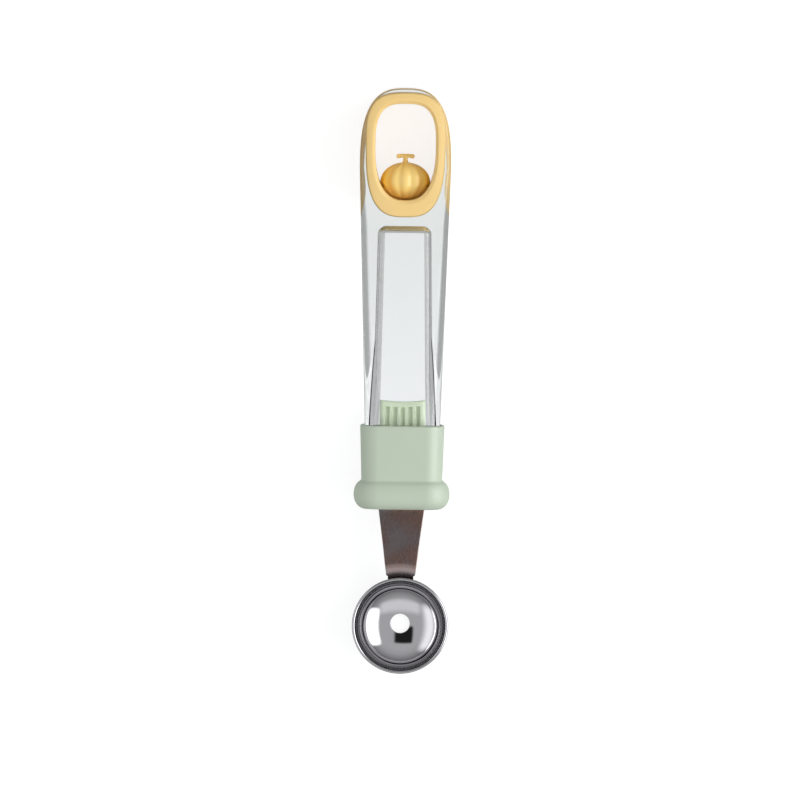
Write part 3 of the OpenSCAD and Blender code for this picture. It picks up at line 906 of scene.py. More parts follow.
@dataclass
class ClearHandle:
    """The hollow clear handle: rounded outside, window pocket and drafted cavity."""

    mouth_w: float = 21.4
    mouth_t: float = 9.6
    mouth_edge_r: float = 4.2
    shoulder_edge_r: float = 3.2
    head_edge_r: float = 1.5
    top_edge_r: float = 0.5
    top_edge_l: float = 4.0
    head_arc_l: float = 24.0
    head_arc_n: float = 2.8
    web_t: float = 2.9
    cavity_mouth_w: float = 18.8
    cavity_mouth_t: float = 6.8
    cavity_top_w: float = 16.0
    cavity_top_t: float = 5.6
    cavity_r: float = 2.5
    ceiling_r: float = 2.3
    least_r: float = 0.2
    # Steps of the search for the pocket's edge, and points along each part of the surface
    halvings: int = 40
    arc: int = 13
    flat: int = 41
    low_rows: int = 9
    rise_rows: int = 9
    arch_rows: int = 121
    ceiling_rows: int = 9

    def __post_init__(self) -> None:
        """Reads the handle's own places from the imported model."""
        place, ring = Place.of("handle_body"), Place.of("ring_front")
        self.top_y, self.mouth_y = place.high[1], place.low[1]
        self.head_w, self.head_t = place.size(0), place.size(2)
        self.axis_z = place.middle(2)
        self.arc_y = self.top_y - self.head_arc_l
        self.ceiling_y = ring.low[1] - self.web_t
        self.pocket = RingSizes().outline(ring).grown(RingSizes().fit)

    def half_width(self, y: Array) -> Array:
        """Returns the half width of the outside, straight from the mouth to the head."""
        return lerp(self.mouth_w, self.head_w, share_of(y, self.mouth_y, self.arc_y)) / 2

    def half_depth(self, y: Array) -> Array:
        """Returns the half thickness of the outside, straight from the mouth to the ceiling's height."""
        return lerp(self.mouth_t, self.head_t, share_of(y, self.mouth_y, self.ceiling_y)) / 2

    def edge_r(self, y: Array) -> Array:
        """Works out the edges' radius, which shrinks on the way up and once more over the head's top.

        Args:
            y: Stations.

        Returns:
            The radius at each station.
        """
        slow = lerp(self.mouth_edge_r, self.shoulder_edge_r, share_of(y, self.mouth_y, self.ceiling_y))
        fast = lerp(0.0, self.head_edge_r - self.shoulder_edge_r, share_of(y, self.ceiling_y, self.arc_y))
        over = share_of(y, (self.arc_y + self.top_y) / 2, self.top_y - self.top_edge_l)
        top = lerp(0.0, self.top_edge_r - self.head_edge_r, over)
        return slow + fast + top

    def _turned_in(self, spine: Array, outward: Array) -> Array:
        """Finds the angle at which the rounded edge ends: a quarter turn, or less where the pocket cuts it.

        The inset at which the pocket's outline is met comes from halving the edge's reach again and
        again, and the angle is the arc cosine of one less the inset over the radius.

        Args:
            spine: Points [x, y] of the side outline.
            outward: Directions out of it.

        Returns:
            The angle at each point.
        """
        r = self.edge_r(spine[:, 1])
        low, high = np.zeros(len(spine)), r.copy()
        for _ in range(self.halvings):
            inset = (low + high) / 2
            outside = self.pocket.level(spine - inset[:, None] * outward) > 1
            low, high = np.where(outside, inset, low), np.where(outside, high, inset)
        return np.arccos(np.clip(1 - high / r, 0, 1))

    def _side(self, spine: Array, outward: Array) -> tuple[Array, Array]:
        """Carries the rounded edge profile along a stretch of the side outline.

        The profile turns from the back face through the side to the front face: at the angle t it is
        inset by r (1 - cos t) and lies r sin t beyond the height where its quarter circle starts.

        Args:
            spine: Points [x, y] of the side outline.
            outward: Directions out of it.

        Returns:
            The grid of points and its normals, one row for each point of the spine.
        """
        part = np.concatenate([np.linspace(-1, 0, self.arc), np.linspace(0, 1, self.arc)])
        turn = part * self._turned_in(spine, outward)[:, None]
        face = np.repeat([-1.0, 1.0], self.arc)
        r = self.edge_r(spine[:, 1])[:, None]
        depth = self.half_depth(spine[:, 1])[:, None]
        inset = r * (1 - np.cos(turn))
        height = face * (depth - r) + r * np.sin(turn)
        level = spine[:, None] - inset[..., None] * outward[:, None]
        points = np.concatenate([level, (self.axis_z + height)[..., None]], axis=-1)
        out = np.broadcast_to(outward[:, None], level.shape)
        profile = np.concatenate([-out * np.sin(turn)[..., None], np.cos(turn)[..., None]], axis=-1)
        normals = unit(np.cross(np.gradient(points, axis=0), profile))
        return points, facing(normals, np.concatenate([out, np.zeros(out.shape[:2] + (1,))], axis=-1))

    def build(self) -> bpy.types.Object:
        """Builds the handle from its outside, its window pocket and its cavity.

        Returns:
            The piece.
        """
        surface = Surface()
        # Right side up, over the head and down the left side
        low_y = np.linspace(self.mouth_y, self.ceiling_y, self.low_rows)
        rise_y = np.linspace(self.ceiling_y, self.arc_y, self.rise_rows + 1)[:-1]
        # Only the upper half of the arch's outline is used
        arch = Egg(self.head_w / 2, self.arc_y, self.head_arc_l, self.head_arc_n, down=1.0, down_n=2.0)
        arch_points = arch.points(np.linspace(0, math.pi, self.arch_rows))
        rise = np.stack([self.half_width(rise_y), rise_y], axis=-1)
        flip = np.array([-1.0, 1.0])
        head = np.concatenate([rise, arch_points, (rise * flip)[::-1]])
        sideways = np.broadcast_to([1.0, 0.0], rise.shape)
        head_out = np.concatenate([sideways, arch.outward(arch_points), (sideways * flip)[::-1]])
        head_points, head_normals = self._side(head, head_out)
        surface.patch(head_points, head_normals)
        low = np.stack([self.half_width(low_y), low_y], axis=-1)
        low_points, low_normals = self._side(low, np.broadcast_to([1.0, 0.0], low.shape))
        surface.patch(low_points, low_normals)
        over = np.array([-1.0, 1.0, 1.0])
        surface.patch(low_points * over, low_normals * over)
        self._faces(surface, head_points, low_points)
        self._cavity(surface, low_points)
        return surface.build("clear_handle")

    def _faces(self, surface: Surface, head_points: Array, low_points: Array) -> None:
        """Adds the front and back faces and the pocket's wall.

        Args:
            surface: Surface that takes them.
            head_points: Grid of the side round the head.
            low_points: Grid of the right side below it.
        """
        steps = np.linspace(1.0, -1.0, self.flat)
        tilt = math.atan2((self.head_t - self.mouth_t) / 2, self.ceiling_y - self.mouth_y)
        walls = []
        for column, face in ((-1, 1.0), (0, -1.0)):
            edge = low_points[:, column]
            x = edge[:, :1] * steps
            slope = np.stack(np.broadcast_arrays(x, edge[:, 1:2], edge[:, 2:]), axis=-1)
            surface.patch(slope, (0.0, -math.sin(tilt), face * math.cos(tilt)))
            # The head's face is a band from its rim and the line at the ceiling's height to the pocket
            rim = np.concatenate([head_points[:, column], slope[-1][::-1][1:-1]])
            angle = np.arctan2(rim[:, 1] - self.pocket.middle, rim[:, 0])
            inner = np.column_stack([self.pocket.points(angle), rim[:, 2]])
            surface.face(rim, inner, (0.0, 0.0, face))
            walls.append(inner)
        inwards = -self.pocket.outward(walls[0][:, :2])
        surface.patch(np.stack(walls), np.column_stack([inwards, np.zeros(len(inwards))]), closed=True)

    def _cavity(self, surface: Surface, low_points: Array) -> None:
        """Adds the mouth's face, the cavity's drafted wall and its rounded ceiling.

        Args:
            surface: Surface that takes them.
            low_points: Grid of the right side below the head.
        """
        straight = np.array([self.mouth_y, self.ceiling_y - self.ceiling_r])
        span = self.ceiling_y - self.mouth_y

        def sizes(y: Array) -> tuple[Array, Array]:
            """Returns the cavity's half width and half depth at a station."""
            s = (y - self.mouth_y) / span
            return (lerp(self.cavity_mouth_w, self.cavity_top_w, s) / 2,
                    lerp(self.cavity_mouth_t, self.cavity_top_t, s) / 2)

        flat = self.flat - 2
        width, depth = sizes(straight)
        offsets, outward = round_rect(width, depth, self.cavity_r, self.arc, flat)
        points, normals = lofted(straight, offsets, outward, self.axis_z, hole=True)
        surface.patch(points, normals, closed=True)
        outer = np.concatenate([low_points[0, self.arc:], self._mouth_row(low_points, -1),
                                (low_points * [-1, 1, 1])[0, ::-1], self._mouth_row(low_points, 0)[::-1],
                                low_points[0, :self.arc]])
        surface.face(outer, points[0], (0.0, -1.0, 0.0))
        turn = np.linspace(0, QUARTER, self.ceiling_rows)
        y = self.ceiling_y - self.ceiling_r * (1 - np.sin(turn))
        inset = self.ceiling_r * (1 - np.cos(turn))
        width, depth = sizes(y)
        offsets, outward = round_rect(width - inset, depth - inset,
                                      np.maximum(self.least_r, self.cavity_r - inset), self.arc, flat)
        points, normals = lofted(y, offsets, outward, self.axis_z, hole=True)
        surface.patch(points, normals, closed=True)
        surface.cap(points[-1], (0.0, -1.0, 0.0))

    def _mouth_row(self, low_points: Array, column: int) -> Array:
        """Works out the mouth's points inside its front or back side, from right to left.

        Args:
            low_points: Grid of the right side below the head.
            column: The grid's last column for the front side, or its first for the back side.

        Returns:
            Positions of the points.
        """
        corner = low_points[0, column]
        x = corner[0] * np.linspace(1.0, -1.0, self.flat)[1:-1]
        return np.column_stack([x, np.full(len(x), corner[1]), np.full(len(x), corner[2])])


@dataclass
class WindowRing:
    """One half of the window's lining: a crowned face between an outer and an inner wall."""

    node: str
    crown: float = 0.3
    crown_at: float = 0.75
    edge_r: float = 0.5
    press: float = 0.07
    around: int = 360
    band: int = 13
    soft: int = 8

    def build(self) -> bpy.types.Object:
        """Carries the band's profile round the two outlines.

        The profile climbs the outer wall from the middle plane, turns over a quarter circle, crosses
        the band on a crown that rises as one less the square of the distance from its crest, and
        goes down the inner wall the same way, with a groove for the melon's tongue near the bottom.

        Returns:
            The piece.
        """
        place, sizes = Place.of(self.node), RingSizes()
        face = 1.0 if self.node == "ring_front" else -1.0
        middle_z = place.low[2] if face > 0 else place.high[2]
        depth = place.size(2)
        angle = np.linspace(0, 2 * math.pi, self.around, endpoint=False)
        outer, inner = sizes.outline(place), sizes.opening(place)
        rim, eye = outer.points(angle), inner.points(angle)
        rim_out, eye_out = outer.outward(rim), inner.outward(eye)
        turn = np.linspace(0, QUARTER, self.soft)[:, None, None]
        edge_z = depth - self.crown - self.edge_r
        surface = Surface()

        def shell(level: Array, height: Array) -> Array:
            """Joins outline points and heights over the middle plane into a grid."""
            z = np.broadcast_to(middle_z + face * height, level.shape[:-1])
            return np.concatenate([level, z[..., None]], axis=-1)

        def tilted(level: Array, rise: Array) -> Array:
            """Joins a level direction and a rise into normals."""
            rises = np.broadcast_to(face * rise, level.shape[:-1])
            return np.concatenate([level, rises[..., None]], axis=-1)

        wall_out = np.column_stack([rim_out, np.zeros(self.around)])
        proud = rim + rim_out * self.press
        foot = shell(proud, np.zeros(1))
        surface.patch(np.stack([foot, shell(proud, np.array([edge_z]))]), wall_out, closed=True)
        over_rim = rim - rim_out * (self.edge_r * (1 - np.cos(turn)))
        over_rim = over_rim + rim_out * self.press * (1 - np.sin(turn))
        over_eye = eye + eye_out * (self.edge_r * (1 - np.cos(turn)))
        rise, level = np.sin(turn)[..., 0], np.cos(turn)
        for over, out in ((over_rim, rim_out), (over_eye, -eye_out)):
            surface.patch(shell(over, edge_z + self.edge_r * rise), tilted(out * level, rise), closed=True)
        across = np.linspace(-1, 1, self.band)[:, None, None]
        start, end = over_rim[-1], over_eye[-1]
        band = lerp(start, end, (across + 1) / 2)
        past = across - self.crown_at
        bow = past / np.where(past < 0, 1 + self.crown_at, 1 - self.crown_at)
        crown = (edge_z + self.edge_r + self.crown * (1 - bow ** 2))[..., 0]
        points = shell(band, crown)
        normals = facing(grid_normals(points, closed=True), np.array([0.0, 0.0, face]))
        surface.patch(points, normals, closed=True)
        # The groove that grips the tongue runs along the opening's bottom
        low = (eye[:, 1] < place.low[1] + sizes.bottom_band + sizes.tongue_rise)[:, None]
        groove = eye + eye_out * np.where(low, sizes.tongue_depth + sizes.tongue_fit, 0.0)
        lip_z = np.where(low[:, 0], sizes.tongue_t / 2 + sizes.tongue_fit, 0.0)
        eye_in = np.column_stack([-eye_out, np.zeros(self.around)])
        lip, root, floor = shell(eye, lip_z), shell(groove, lip_z), shell(groove, np.zeros(1))
        surface.patch(np.stack([lip, shell(eye, np.full(self.around, edge_z))]), eye_in, closed=True)
        surface.face(lip, root, (0.0, 0.0, -face))
        surface.patch(np.stack([floor, root]), eye_in, closed=True)
        surface.face(floor, foot, (0.0, 0.0, -face))
        return surface.build("lining_" + self.node.split("_")[1])


@dataclass
class SmallMelon:
    """The ribbed melon in the window, with its T-shaped stem and the tongue that holds it."""

    height: float = 11.2
    depth: float = 12.0
    fit: float = 0.1
    ribs: int = 12
    groove: float = 0.075
    groove_power: float = 1.6
    middle_share: float = 0.47
    roundness: float = 0.85
    stem_l: float = 2.0
    stem_d: float = 1.3
    bar_l: float = 4.6
    stem_flare: float = 0.7
    stem_flare_l: float = 0.9
    bar_sag: float = 0.25
    bar_waist: float = 0.16
    dome: float = 0.6
    levels: int = 56
    around: int = 192
    stem_rows: int = 7
    bar_rows: int = 17
    dome_rows: int = 5
    rod_around: int = 32
    tongue_steps: int = 97

    def build(self) -> bpy.types.Object:
        """Builds the melon, its tongue, its stem and the bar across it.

        Returns:
            The piece.
        """
        ring = Place.of("ring_front")
        self.axis_z = ring.low[2]
        self.opening = RingSizes().opening(ring)
        self.floor_y = self.opening.middle - self.opening.down
        surface = Surface()
        self._melon(surface)
        self._tongue(surface)
        top = self.floor_y + self.height
        foot = top - self.stem_d / 2
        stem = np.linspace(foot, top + self.stem_l, self.stem_rows)
        flare = 1 + self.stem_flare * smooth(share_of(stem, top + self.stem_flare_l, foot))
        self._rod(surface, np.zeros(self.stem_rows), stem, self.stem_d / 2 * flare)
        across = np.linspace(-self.bar_l / 2, self.bar_l / 2, self.bar_rows)
        sag = top + self.stem_l - self.bar_sag * (2 * across / self.bar_l) ** 2
        thick = 1 - self.bar_waist * np.cos(math.pi * across / self.bar_l)
        self._rod(surface, across, sag, self.stem_d / 2 * thick)
        return surface.build("small_melon")

    def _melon(self, surface: Surface) -> None:
        """Adds the melon.

        Under its widest line the half width follows the opening less a gap, and over it a quarter
        ellipse. At the angle t a rib swells between grooves that take off a share of the radius, the
        given power of the square of the sine of half the number of ribs times t.

        Args:
            surface: Surface that takes it.
        """
        level = (1 - np.cos(np.linspace(0, math.pi, self.levels))) / 2
        h = self.fit + (self.height - self.fit) * level
        middle = self.height * self.middle_share
        rest = self.opening.floor_width(h) - self.fit
        widest = self.opening.floor_width(np.array([middle]))[0] - self.fit
        dome = widest * np.sqrt(1 - share_of(h, middle, self.height) ** 2)
        width = np.maximum(np.where(h < middle, rest, dome), 0.0)
        width[[0, -1]] = 0.0
        depth = np.minimum(width * self.roundness, self.depth / 2)
        t = np.linspace(0, 2 * math.pi, self.around, endpoint=False)
        lobe = 1 - self.groove * (np.sin(t * self.ribs / 2) ** 2) ** self.groove_power
        points = np.stack([
            width[:, None] * lobe * np.cos(t),
            np.broadcast_to(self.floor_y + h[:, None], (self.levels, self.around)),
            self.axis_z + depth[:, None] * lobe * np.sin(t),
        ], axis=-1)
        belly = points[self.levels // 2]
        normals = facing(grid_normals(points, closed=True), belly - belly.mean(axis=0))
        surface.patch(points, normals, closed=True)

    def _tongue(self, surface: Surface) -> None:
        """Adds the plate along the opening's bottom that the two halves of the ring grip.

        Args:
            surface: Surface that takes it.
        """
        sizes = RingSizes()
        reach = self.opening.grown(sizes.tongue_depth)
        top = self.floor_y + sizes.tongue_rise
        angle = np.linspace(-math.pi, 0, self.tongue_steps)
        edge = reach.points(angle)
        edge[:, 1] = np.minimum(edge[:, 1], top)
        rim = np.concatenate([edge, [[0.0, top]]])
        rims = []
        for side in (-1.0, 1.0):
            z = np.full(len(rim), self.axis_z + side * sizes.tongue_t / 2)
            rims.append(np.column_stack([rim, z]))
            surface.cap(rims[-1], (0.0, 0.0, side))
        out = np.column_stack([reach.outward(edge), np.zeros(len(edge))])
        surface.patch(np.stack(rims), np.concatenate([out, [[0.0, 1.0, 0.0]]]), closed=True)

    def _rod(self, surface: Surface, x: Array, y: Array, radius: Array) -> None:
        """Adds a round rod with domed ends along a spine in the middle plane.

        A ring of points stands square to each step of the spine, and at both ends the rings shrink
        as the cosine of an angle while they move out as its sine.

        Args:
            surface: Surface that takes it.
            x: X of the spine's points.
            y: Y of the spine's points.
            radius: Radius at each point.
        """
        spine = np.column_stack([x, y, np.full(len(x), self.axis_z)])
        step = unit(np.gradient(spine, axis=0))
        turn = np.linspace(0, QUARTER, self.dome_rows + 1)[1:]
        bulge = radius * self.dome
        low_spine = spine[0] - step[0] * (bulge[0] * np.sin(turn[::-1]))[:, None]
        high_spine = spine[-1] + step[-1] * (bulge[-1] * np.sin(turn))[:, None]
        spine = np.concatenate([low_spine, spine, high_spine])
        step = np.pad(step, ((self.dome_rows, self.dome_rows), (0, 0)), mode="edge")
        radius = np.concatenate([radius[0] * np.cos(turn[::-1]), radius, radius[-1] * np.cos(turn)])
        up = np.array([0.0, 0.0, 1.0])
        side = unit(np.cross(step, up))
        t = np.linspace(0, 2 * math.pi, self.rod_around, endpoint=False)
        ring = side[:, None] * np.cos(t)[:, None] + up * np.sin(t)[:, None]
        points = spine[:, None] + radius[:, None, None] * ring
        surface.patch(points, facing(grid_normals(points, closed=True), ring), closed=True)


@dataclass
class Collar:
    """The soft collar: a sleeve round the handle's end and a guard bead."""

    handle: ClearHandle
    sleeve_wall: float = 1.2
    sleeve_taper: float = 0.55
    edge_r: float = 0.6
    lip_r: float = 0.3
    bead_upper_l: float = 3.9
    bead_lower_l: float = 4.3
    bead_draw_in: float = 3.4
    fillet_start: float = 0.93
    fillet_end: float = 0.1
    slide_fit: float = 0.15
    foot_l: float = 2.4
    seat_gap: float = 0.2
    fit: float = 0.05
    plug_w: float = 13.8
    strip_w: float = 13.8
    strip_t: float = 1.0
    least_flat: float = 0.4
    arc: int = 17
    flat: int = 13
    round_rows: int = 15
    fillet_rows: int = 9
    lip_rows: int = 7

    def __post_init__(self) -> None:
        """Reads the collar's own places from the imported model."""
        place = Place.of("collar")
        self.low_y, self.top_y = place.low[1], place.high[1]
        self.bead_w, self.bead_t = place.size(0), place.size(2)
        self.axis_z = place.middle(2)
        self.bead_y = self.low_y + self.bead_lower_l
        self.bead_top_y = self.bead_y + self.bead_upper_l
        self.floor_y = self.handle.mouth_y - self.seat_gap
        self.foot_y = self.floor_y - self.foot_l

    def _sleeve(self, y: Array) -> Array:
        """Works out the sleeve's half sizes, which draw in a little towards the bead.

        Args:
            y: Stations.

        Returns:
            Half widths and half depths, as two rows.
        """
        s = (self.top_y - y) / (self.top_y - self.bead_top_y)
        wall = self.sleeve_wall + self.slide_fit - self.sleeve_taper * s
        handle = self.handle
        return np.stack([handle.half_width(self.top_y) + wall, handle.half_depth(self.top_y) + wall])

    def _section(self, half: Array) -> tuple[Array, Array]:
        """Works out sections with corners concentric with the handle's edges.

        Args:
            half: Half widths and half depths, as two rows.

        Returns:
            Offsets [x, z] of the sections' points and directions out of them.
        """
        grown = half[0] - self.handle.half_width(self.top_y)
        radius = np.minimum(half[1] - self.least_flat, self.handle.mouth_edge_r + grown)
        return round_rect(half[0], half[1], radius, self.arc, self.flat)

    def _bead(self, swell: Array, draw: Array | float = 0.0) -> Array:
        """Works out half sizes that swell from the sleeve's foot to the bead's widest line.

        Args:
            swell: How far each section has swollen, from 0 to 1.
            draw: What is then taken off it all round.

        Returns:
            Half widths and half depths, as two rows.
        """
        root = self._sleeve(np.full(swell.shape, self.bead_top_y))
        widest = np.array([self.bead_w, self.bead_t])[:, None] / 2
        return lerp(root, widest, swell) - draw

    def build(self) -> bpy.types.Object:
        """Builds the collar from its outside, its pocket and its sockets.

        Returns:
            The piece.
        """
        surface = Surface()
        turn = np.linspace(0, QUARTER, self.round_rows)
        # Lower round: a quarter ellipse that draws in towards the end face
        y = self.bead_y - self.bead_lower_l * np.cos(turn)
        low_half = self._bead(np.ones(self.round_rows), self.bead_draw_in * (1 - np.sin(turn)))
        self._wall(surface, y, low_half)
        # Upper round: a quarter ellipse, left early for the fillet at the sleeve
        up = np.sin(np.linspace(0, math.asin(self.fillet_start), self.round_rows))
        y = self.bead_y + self.bead_upper_l * up
        self._wall(surface, y, self._bead(np.sqrt(1 - up ** 2)))
        # Fillet: a quadratic curve from the round to the sleeve, its middle knot where their lines meet
        s = np.linspace(0, 1, self.fillet_rows)
        meet = 1 / self.fillet_start
        knots = np.array([[self.fillet_start, math.sqrt(1 - self.fillet_start ** 2)], [meet, 0],
                          [meet + self.fillet_end, 0]])
        curve = np.column_stack([(1 - s) ** 2, 2 * s * (1 - s), s ** 2]) @ knots
        y = self.bead_y + self.bead_upper_l * curve[:, 0]
        half = self._bead(curve[:, 1])
        end = self._sleeve(y[-1:])
        half = half + (end - half[:, -1:]) * s ** 2
        self._wall(surface, y, half)
        sleeve_y = np.array([y[-1], self.top_y - self.edge_r])
        self._wall(surface, sleeve_y, self._sleeve(sleeve_y))
        y = self.top_y - self.edge_r * (1 - np.sin(turn))
        top_half = self._sleeve(y) - self.edge_r * (1 - np.cos(turn))
        self._wall(surface, y, top_half)
        self._inside(surface, top_half[:, -1:], low_half[:, :1])
        return surface.build("soft_collar")

    def _wall(self, surface: Surface, y: Array, half: Array) -> None:
        """Adds a stretch of the outside.

        Args:
            surface: Surface that takes it.
            y: Stations.
            half: Half widths and half depths there, as two rows.
        """
        offsets, outward = self._section(half)
        points, normals = lofted(y, offsets, outward, self.axis_z)
        surface.patch(points, normals, closed=True)

    def _inside(self, surface: Surface, top_half: Array, low_half: Array) -> None:
        """Adds the lip, the pocket for the handle and the sockets for the plug's foot and the strip.

        Args:
            surface: Surface that takes them.
            top_half: Half sizes of the outside at the top face.
            low_half: Half sizes of the outside at the lower face.
        """
        turn = np.linspace(0, QUARTER, self.lip_rows)
        lip_y = self.top_y - self.lip_r * (1 - np.cos(turn))
        flare = self.lip_r * (1 - np.sin(turn))
        handle, fit = self.handle, self.slide_fit
        lip = round_rect(handle.half_width(lip_y) + fit + flare, handle.half_depth(lip_y) + fit + flare,
                         handle.edge_r(lip_y) + fit + flare, self.arc, self.flat)
        points, normals = lofted(lip_y, *lip, self.axis_z, hole=True)
        surface.patch(points, normals, closed=True)
        offsets, _ = self._section(top_half)
        top_rim = self._ring(offsets[0], self.top_y)
        surface.face(top_rim, points[0], (0.0, 1.0, 0.0))
        y = np.array([lip_y[-1], self.floor_y])
        grown = handle.half_width(y) + fit, handle.half_depth(y) + fit, handle.edge_r(y) + fit
        pocket, normals = lofted(y, *round_rect(*grown, self.arc, self.flat), self.axis_z, hole=True)
        surface.patch(pocket, normals, closed=True)
        foot_half = self.plug_w / 2 + self.fit, self.plug_depth() + self.fit
        slot_half = self.strip_w / 2 + self.fit, self.strip_t / 2 + self.fit
        low, rim = self.foot_y - self.fit, pocket[-1]
        for half, span in ((foot_half, (self.floor_y, low)), (slot_half, (low, self.low_y))):
            section = round_rect(half[0], half[1], self.fit, self.arc, self.flat)
            spans = (np.repeat(section[0], 2, axis=0), np.repeat(section[1], 2, axis=0))
            points, normals = lofted(np.array(span), *spans, self.axis_z, hole=True)
            surface.face(rim, points[0], (0.0, 1.0, 0.0))
            surface.patch(points, normals, closed=True)
            rim = points[-1]
        offsets, _ = self._section(low_half)
        surface.face(rim, self._ring(offsets[0], self.low_y), (0.0, -1.0, 0.0))

    def _ring(self, offsets: Array, y: float) -> Array:
        """Returns a section's points at a station."""
        return np.column_stack([offsets[:, 0], np.full(len(offsets), y), self.axis_z + offsets[:, 1]])

    def plug_depth(self) -> float:
        """Returns the half depth of the plug at the handle's mouth."""
        return self.handle.cavity_mouth_t / 2 - self.slide_fit


@dataclass
class RibbedPlug:
    """The plug that fills the handle's mouth, with lengthwise grooves on both faces."""

    collar: Collar
    corner_r: float = 1.2
    grooves: int = 5
    groove_w: float = 1.2
    groove_d: float = 0.8
    groove_soft: float = 0.12
    end_band: float = 1.4
    fade_l: float = 0.5
    fade_step: float = 0.1
    mouth_step: float = 0.01
    end_r: float = 0.35
    dip: float = 0.5
    arc: int = 11
    flat: int = 151
    face_rows: int = 12
    fade_rows: int = 14
    end_rows: int = 5
    dish_rows: int = 12

    def build(self) -> bpy.types.Object:
        """Builds the plug.

        Its faces follow the cavity's draft, and a groove is a soft-edged step down whose depth fades
        out over the band below the end. The end dips in its middle as one less the square of x.

        Returns:
            The piece.
        """
        collar, handle = self.collar, self.collar.handle
        place = Place.of("plug")
        low_y, top_y = place.low[1], place.high[1]
        half_w = place.size(0) / 2
        band_y = top_y - self.end_band
        below = band_y - self.fade_l - self.fade_step
        y = np.concatenate([[low_y, handle.mouth_y - self.mouth_step],
                            np.linspace(handle.mouth_y, below, self.face_rows),
                            np.linspace(band_y - self.fade_l, top_y - self.end_r, self.fade_rows)])
        turn = np.linspace(0, QUARTER, self.end_rows + 1)[1:]
        inset = np.concatenate([np.zeros(len(y)), self.end_r * (1 - np.cos(turn))])
        y = np.concatenate([y, top_y - self.end_r * (1 - np.sin(turn))])
        slope = (handle.cavity_top_t - handle.cavity_mouth_t) / 2 / (handle.ceiling_y - handle.mouth_y)
        depth = collar.plug_depth() + slope * np.maximum(y - handle.mouth_y, 0)
        offsets, outward = round_rect(half_w - inset, depth - inset, self.corner_r - inset,
                                      self.arc, self.flat)
        # Grooves: how far each point lies from the middle of the nearest one decides its cut
        x = offsets[..., 0]
        pitch = (2 * half_w - 2 * self.corner_r) / self.grooves
        phase = np.abs((x / pitch + self.grooves / 2) % 1.0 - 0.5) * pitch
        edge, soft = self.groove_w / 2, self.groove_soft
        cut = smooth(share_of(phase, edge + soft, edge - soft)) * (np.abs(x) < self.grooves * pitch / 2)
        fade = smooth(share_of(y, band_y, band_y - self.fade_l))
        fade = fade * (y >= handle.mouth_y)
        offsets = offsets.copy()
        offsets[..., 1] -= np.sign(offsets[..., 1]) * cut * self.groove_d * fade[:, None]
        dip = self.dip * (1 - (x / half_w) ** 2) * share_of(y, handle.mouth_y, top_y)[:, None]
        points = np.stack([x, y[:, None] - dip, collar.axis_z + offsets[..., 1]], axis=-1)
        level = np.stack([outward[..., 0], np.zeros(x.shape), outward[..., 1]], axis=-1)
        surface = Surface()
        surface.patch(points, facing(grid_normals(points, closed=True), level), closed=True)
        surface.cap(points[0], (0.0, -1.0, 0.0))
        # End: its rim drawn together to its middle, row by row
        rim = points[-1]
        rows = np.linspace(1, 0, self.dish_rows)[:, None]
        z = collar.axis_z + (rim[:, 2] - collar.axis_z) * rows
        end = np.stack(np.broadcast_arrays(rim[:, 0] * rows, rim[:, 1], z), axis=-1).copy()
        end[..., 1] = top_y - self.dip * (1 - (end[..., 0] / half_w) ** 2)
        slope_x = 2 * self.dip * end[..., 0] / half_w ** 2
        normals = np.stack([-slope_x, np.ones(slope_x.shape), np.zeros(slope_x.shape)], axis=-1)
        surface.patch(end, normals, closed=True)
        return surface.build("ribbed_plug")


@dataclass(frozen=True)
class ScoopSizes:
    """The scoop's outer half axes and the middle of its rim, which the strip follows too."""

    radius: float
    depth: float
    wall_t: float
    centre: Triple

    @classmethod
    def read(cls, wall_t: float = 0.9) -> "ScoopSizes":
        """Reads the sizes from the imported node, whose top is half a wall over the rim's middle.

        Args:
            wall_t: The wall's thickness.

        Returns:
            The sizes.
        """
        place = Place.of("bowl")
        radius, rim_z = place.size(0) / 2, place.high[2] - wall_t / 2
        return cls(radius, rim_z - place.low[2], wall_t, (place.middle(0), place.low[1] + radius, rim_z))


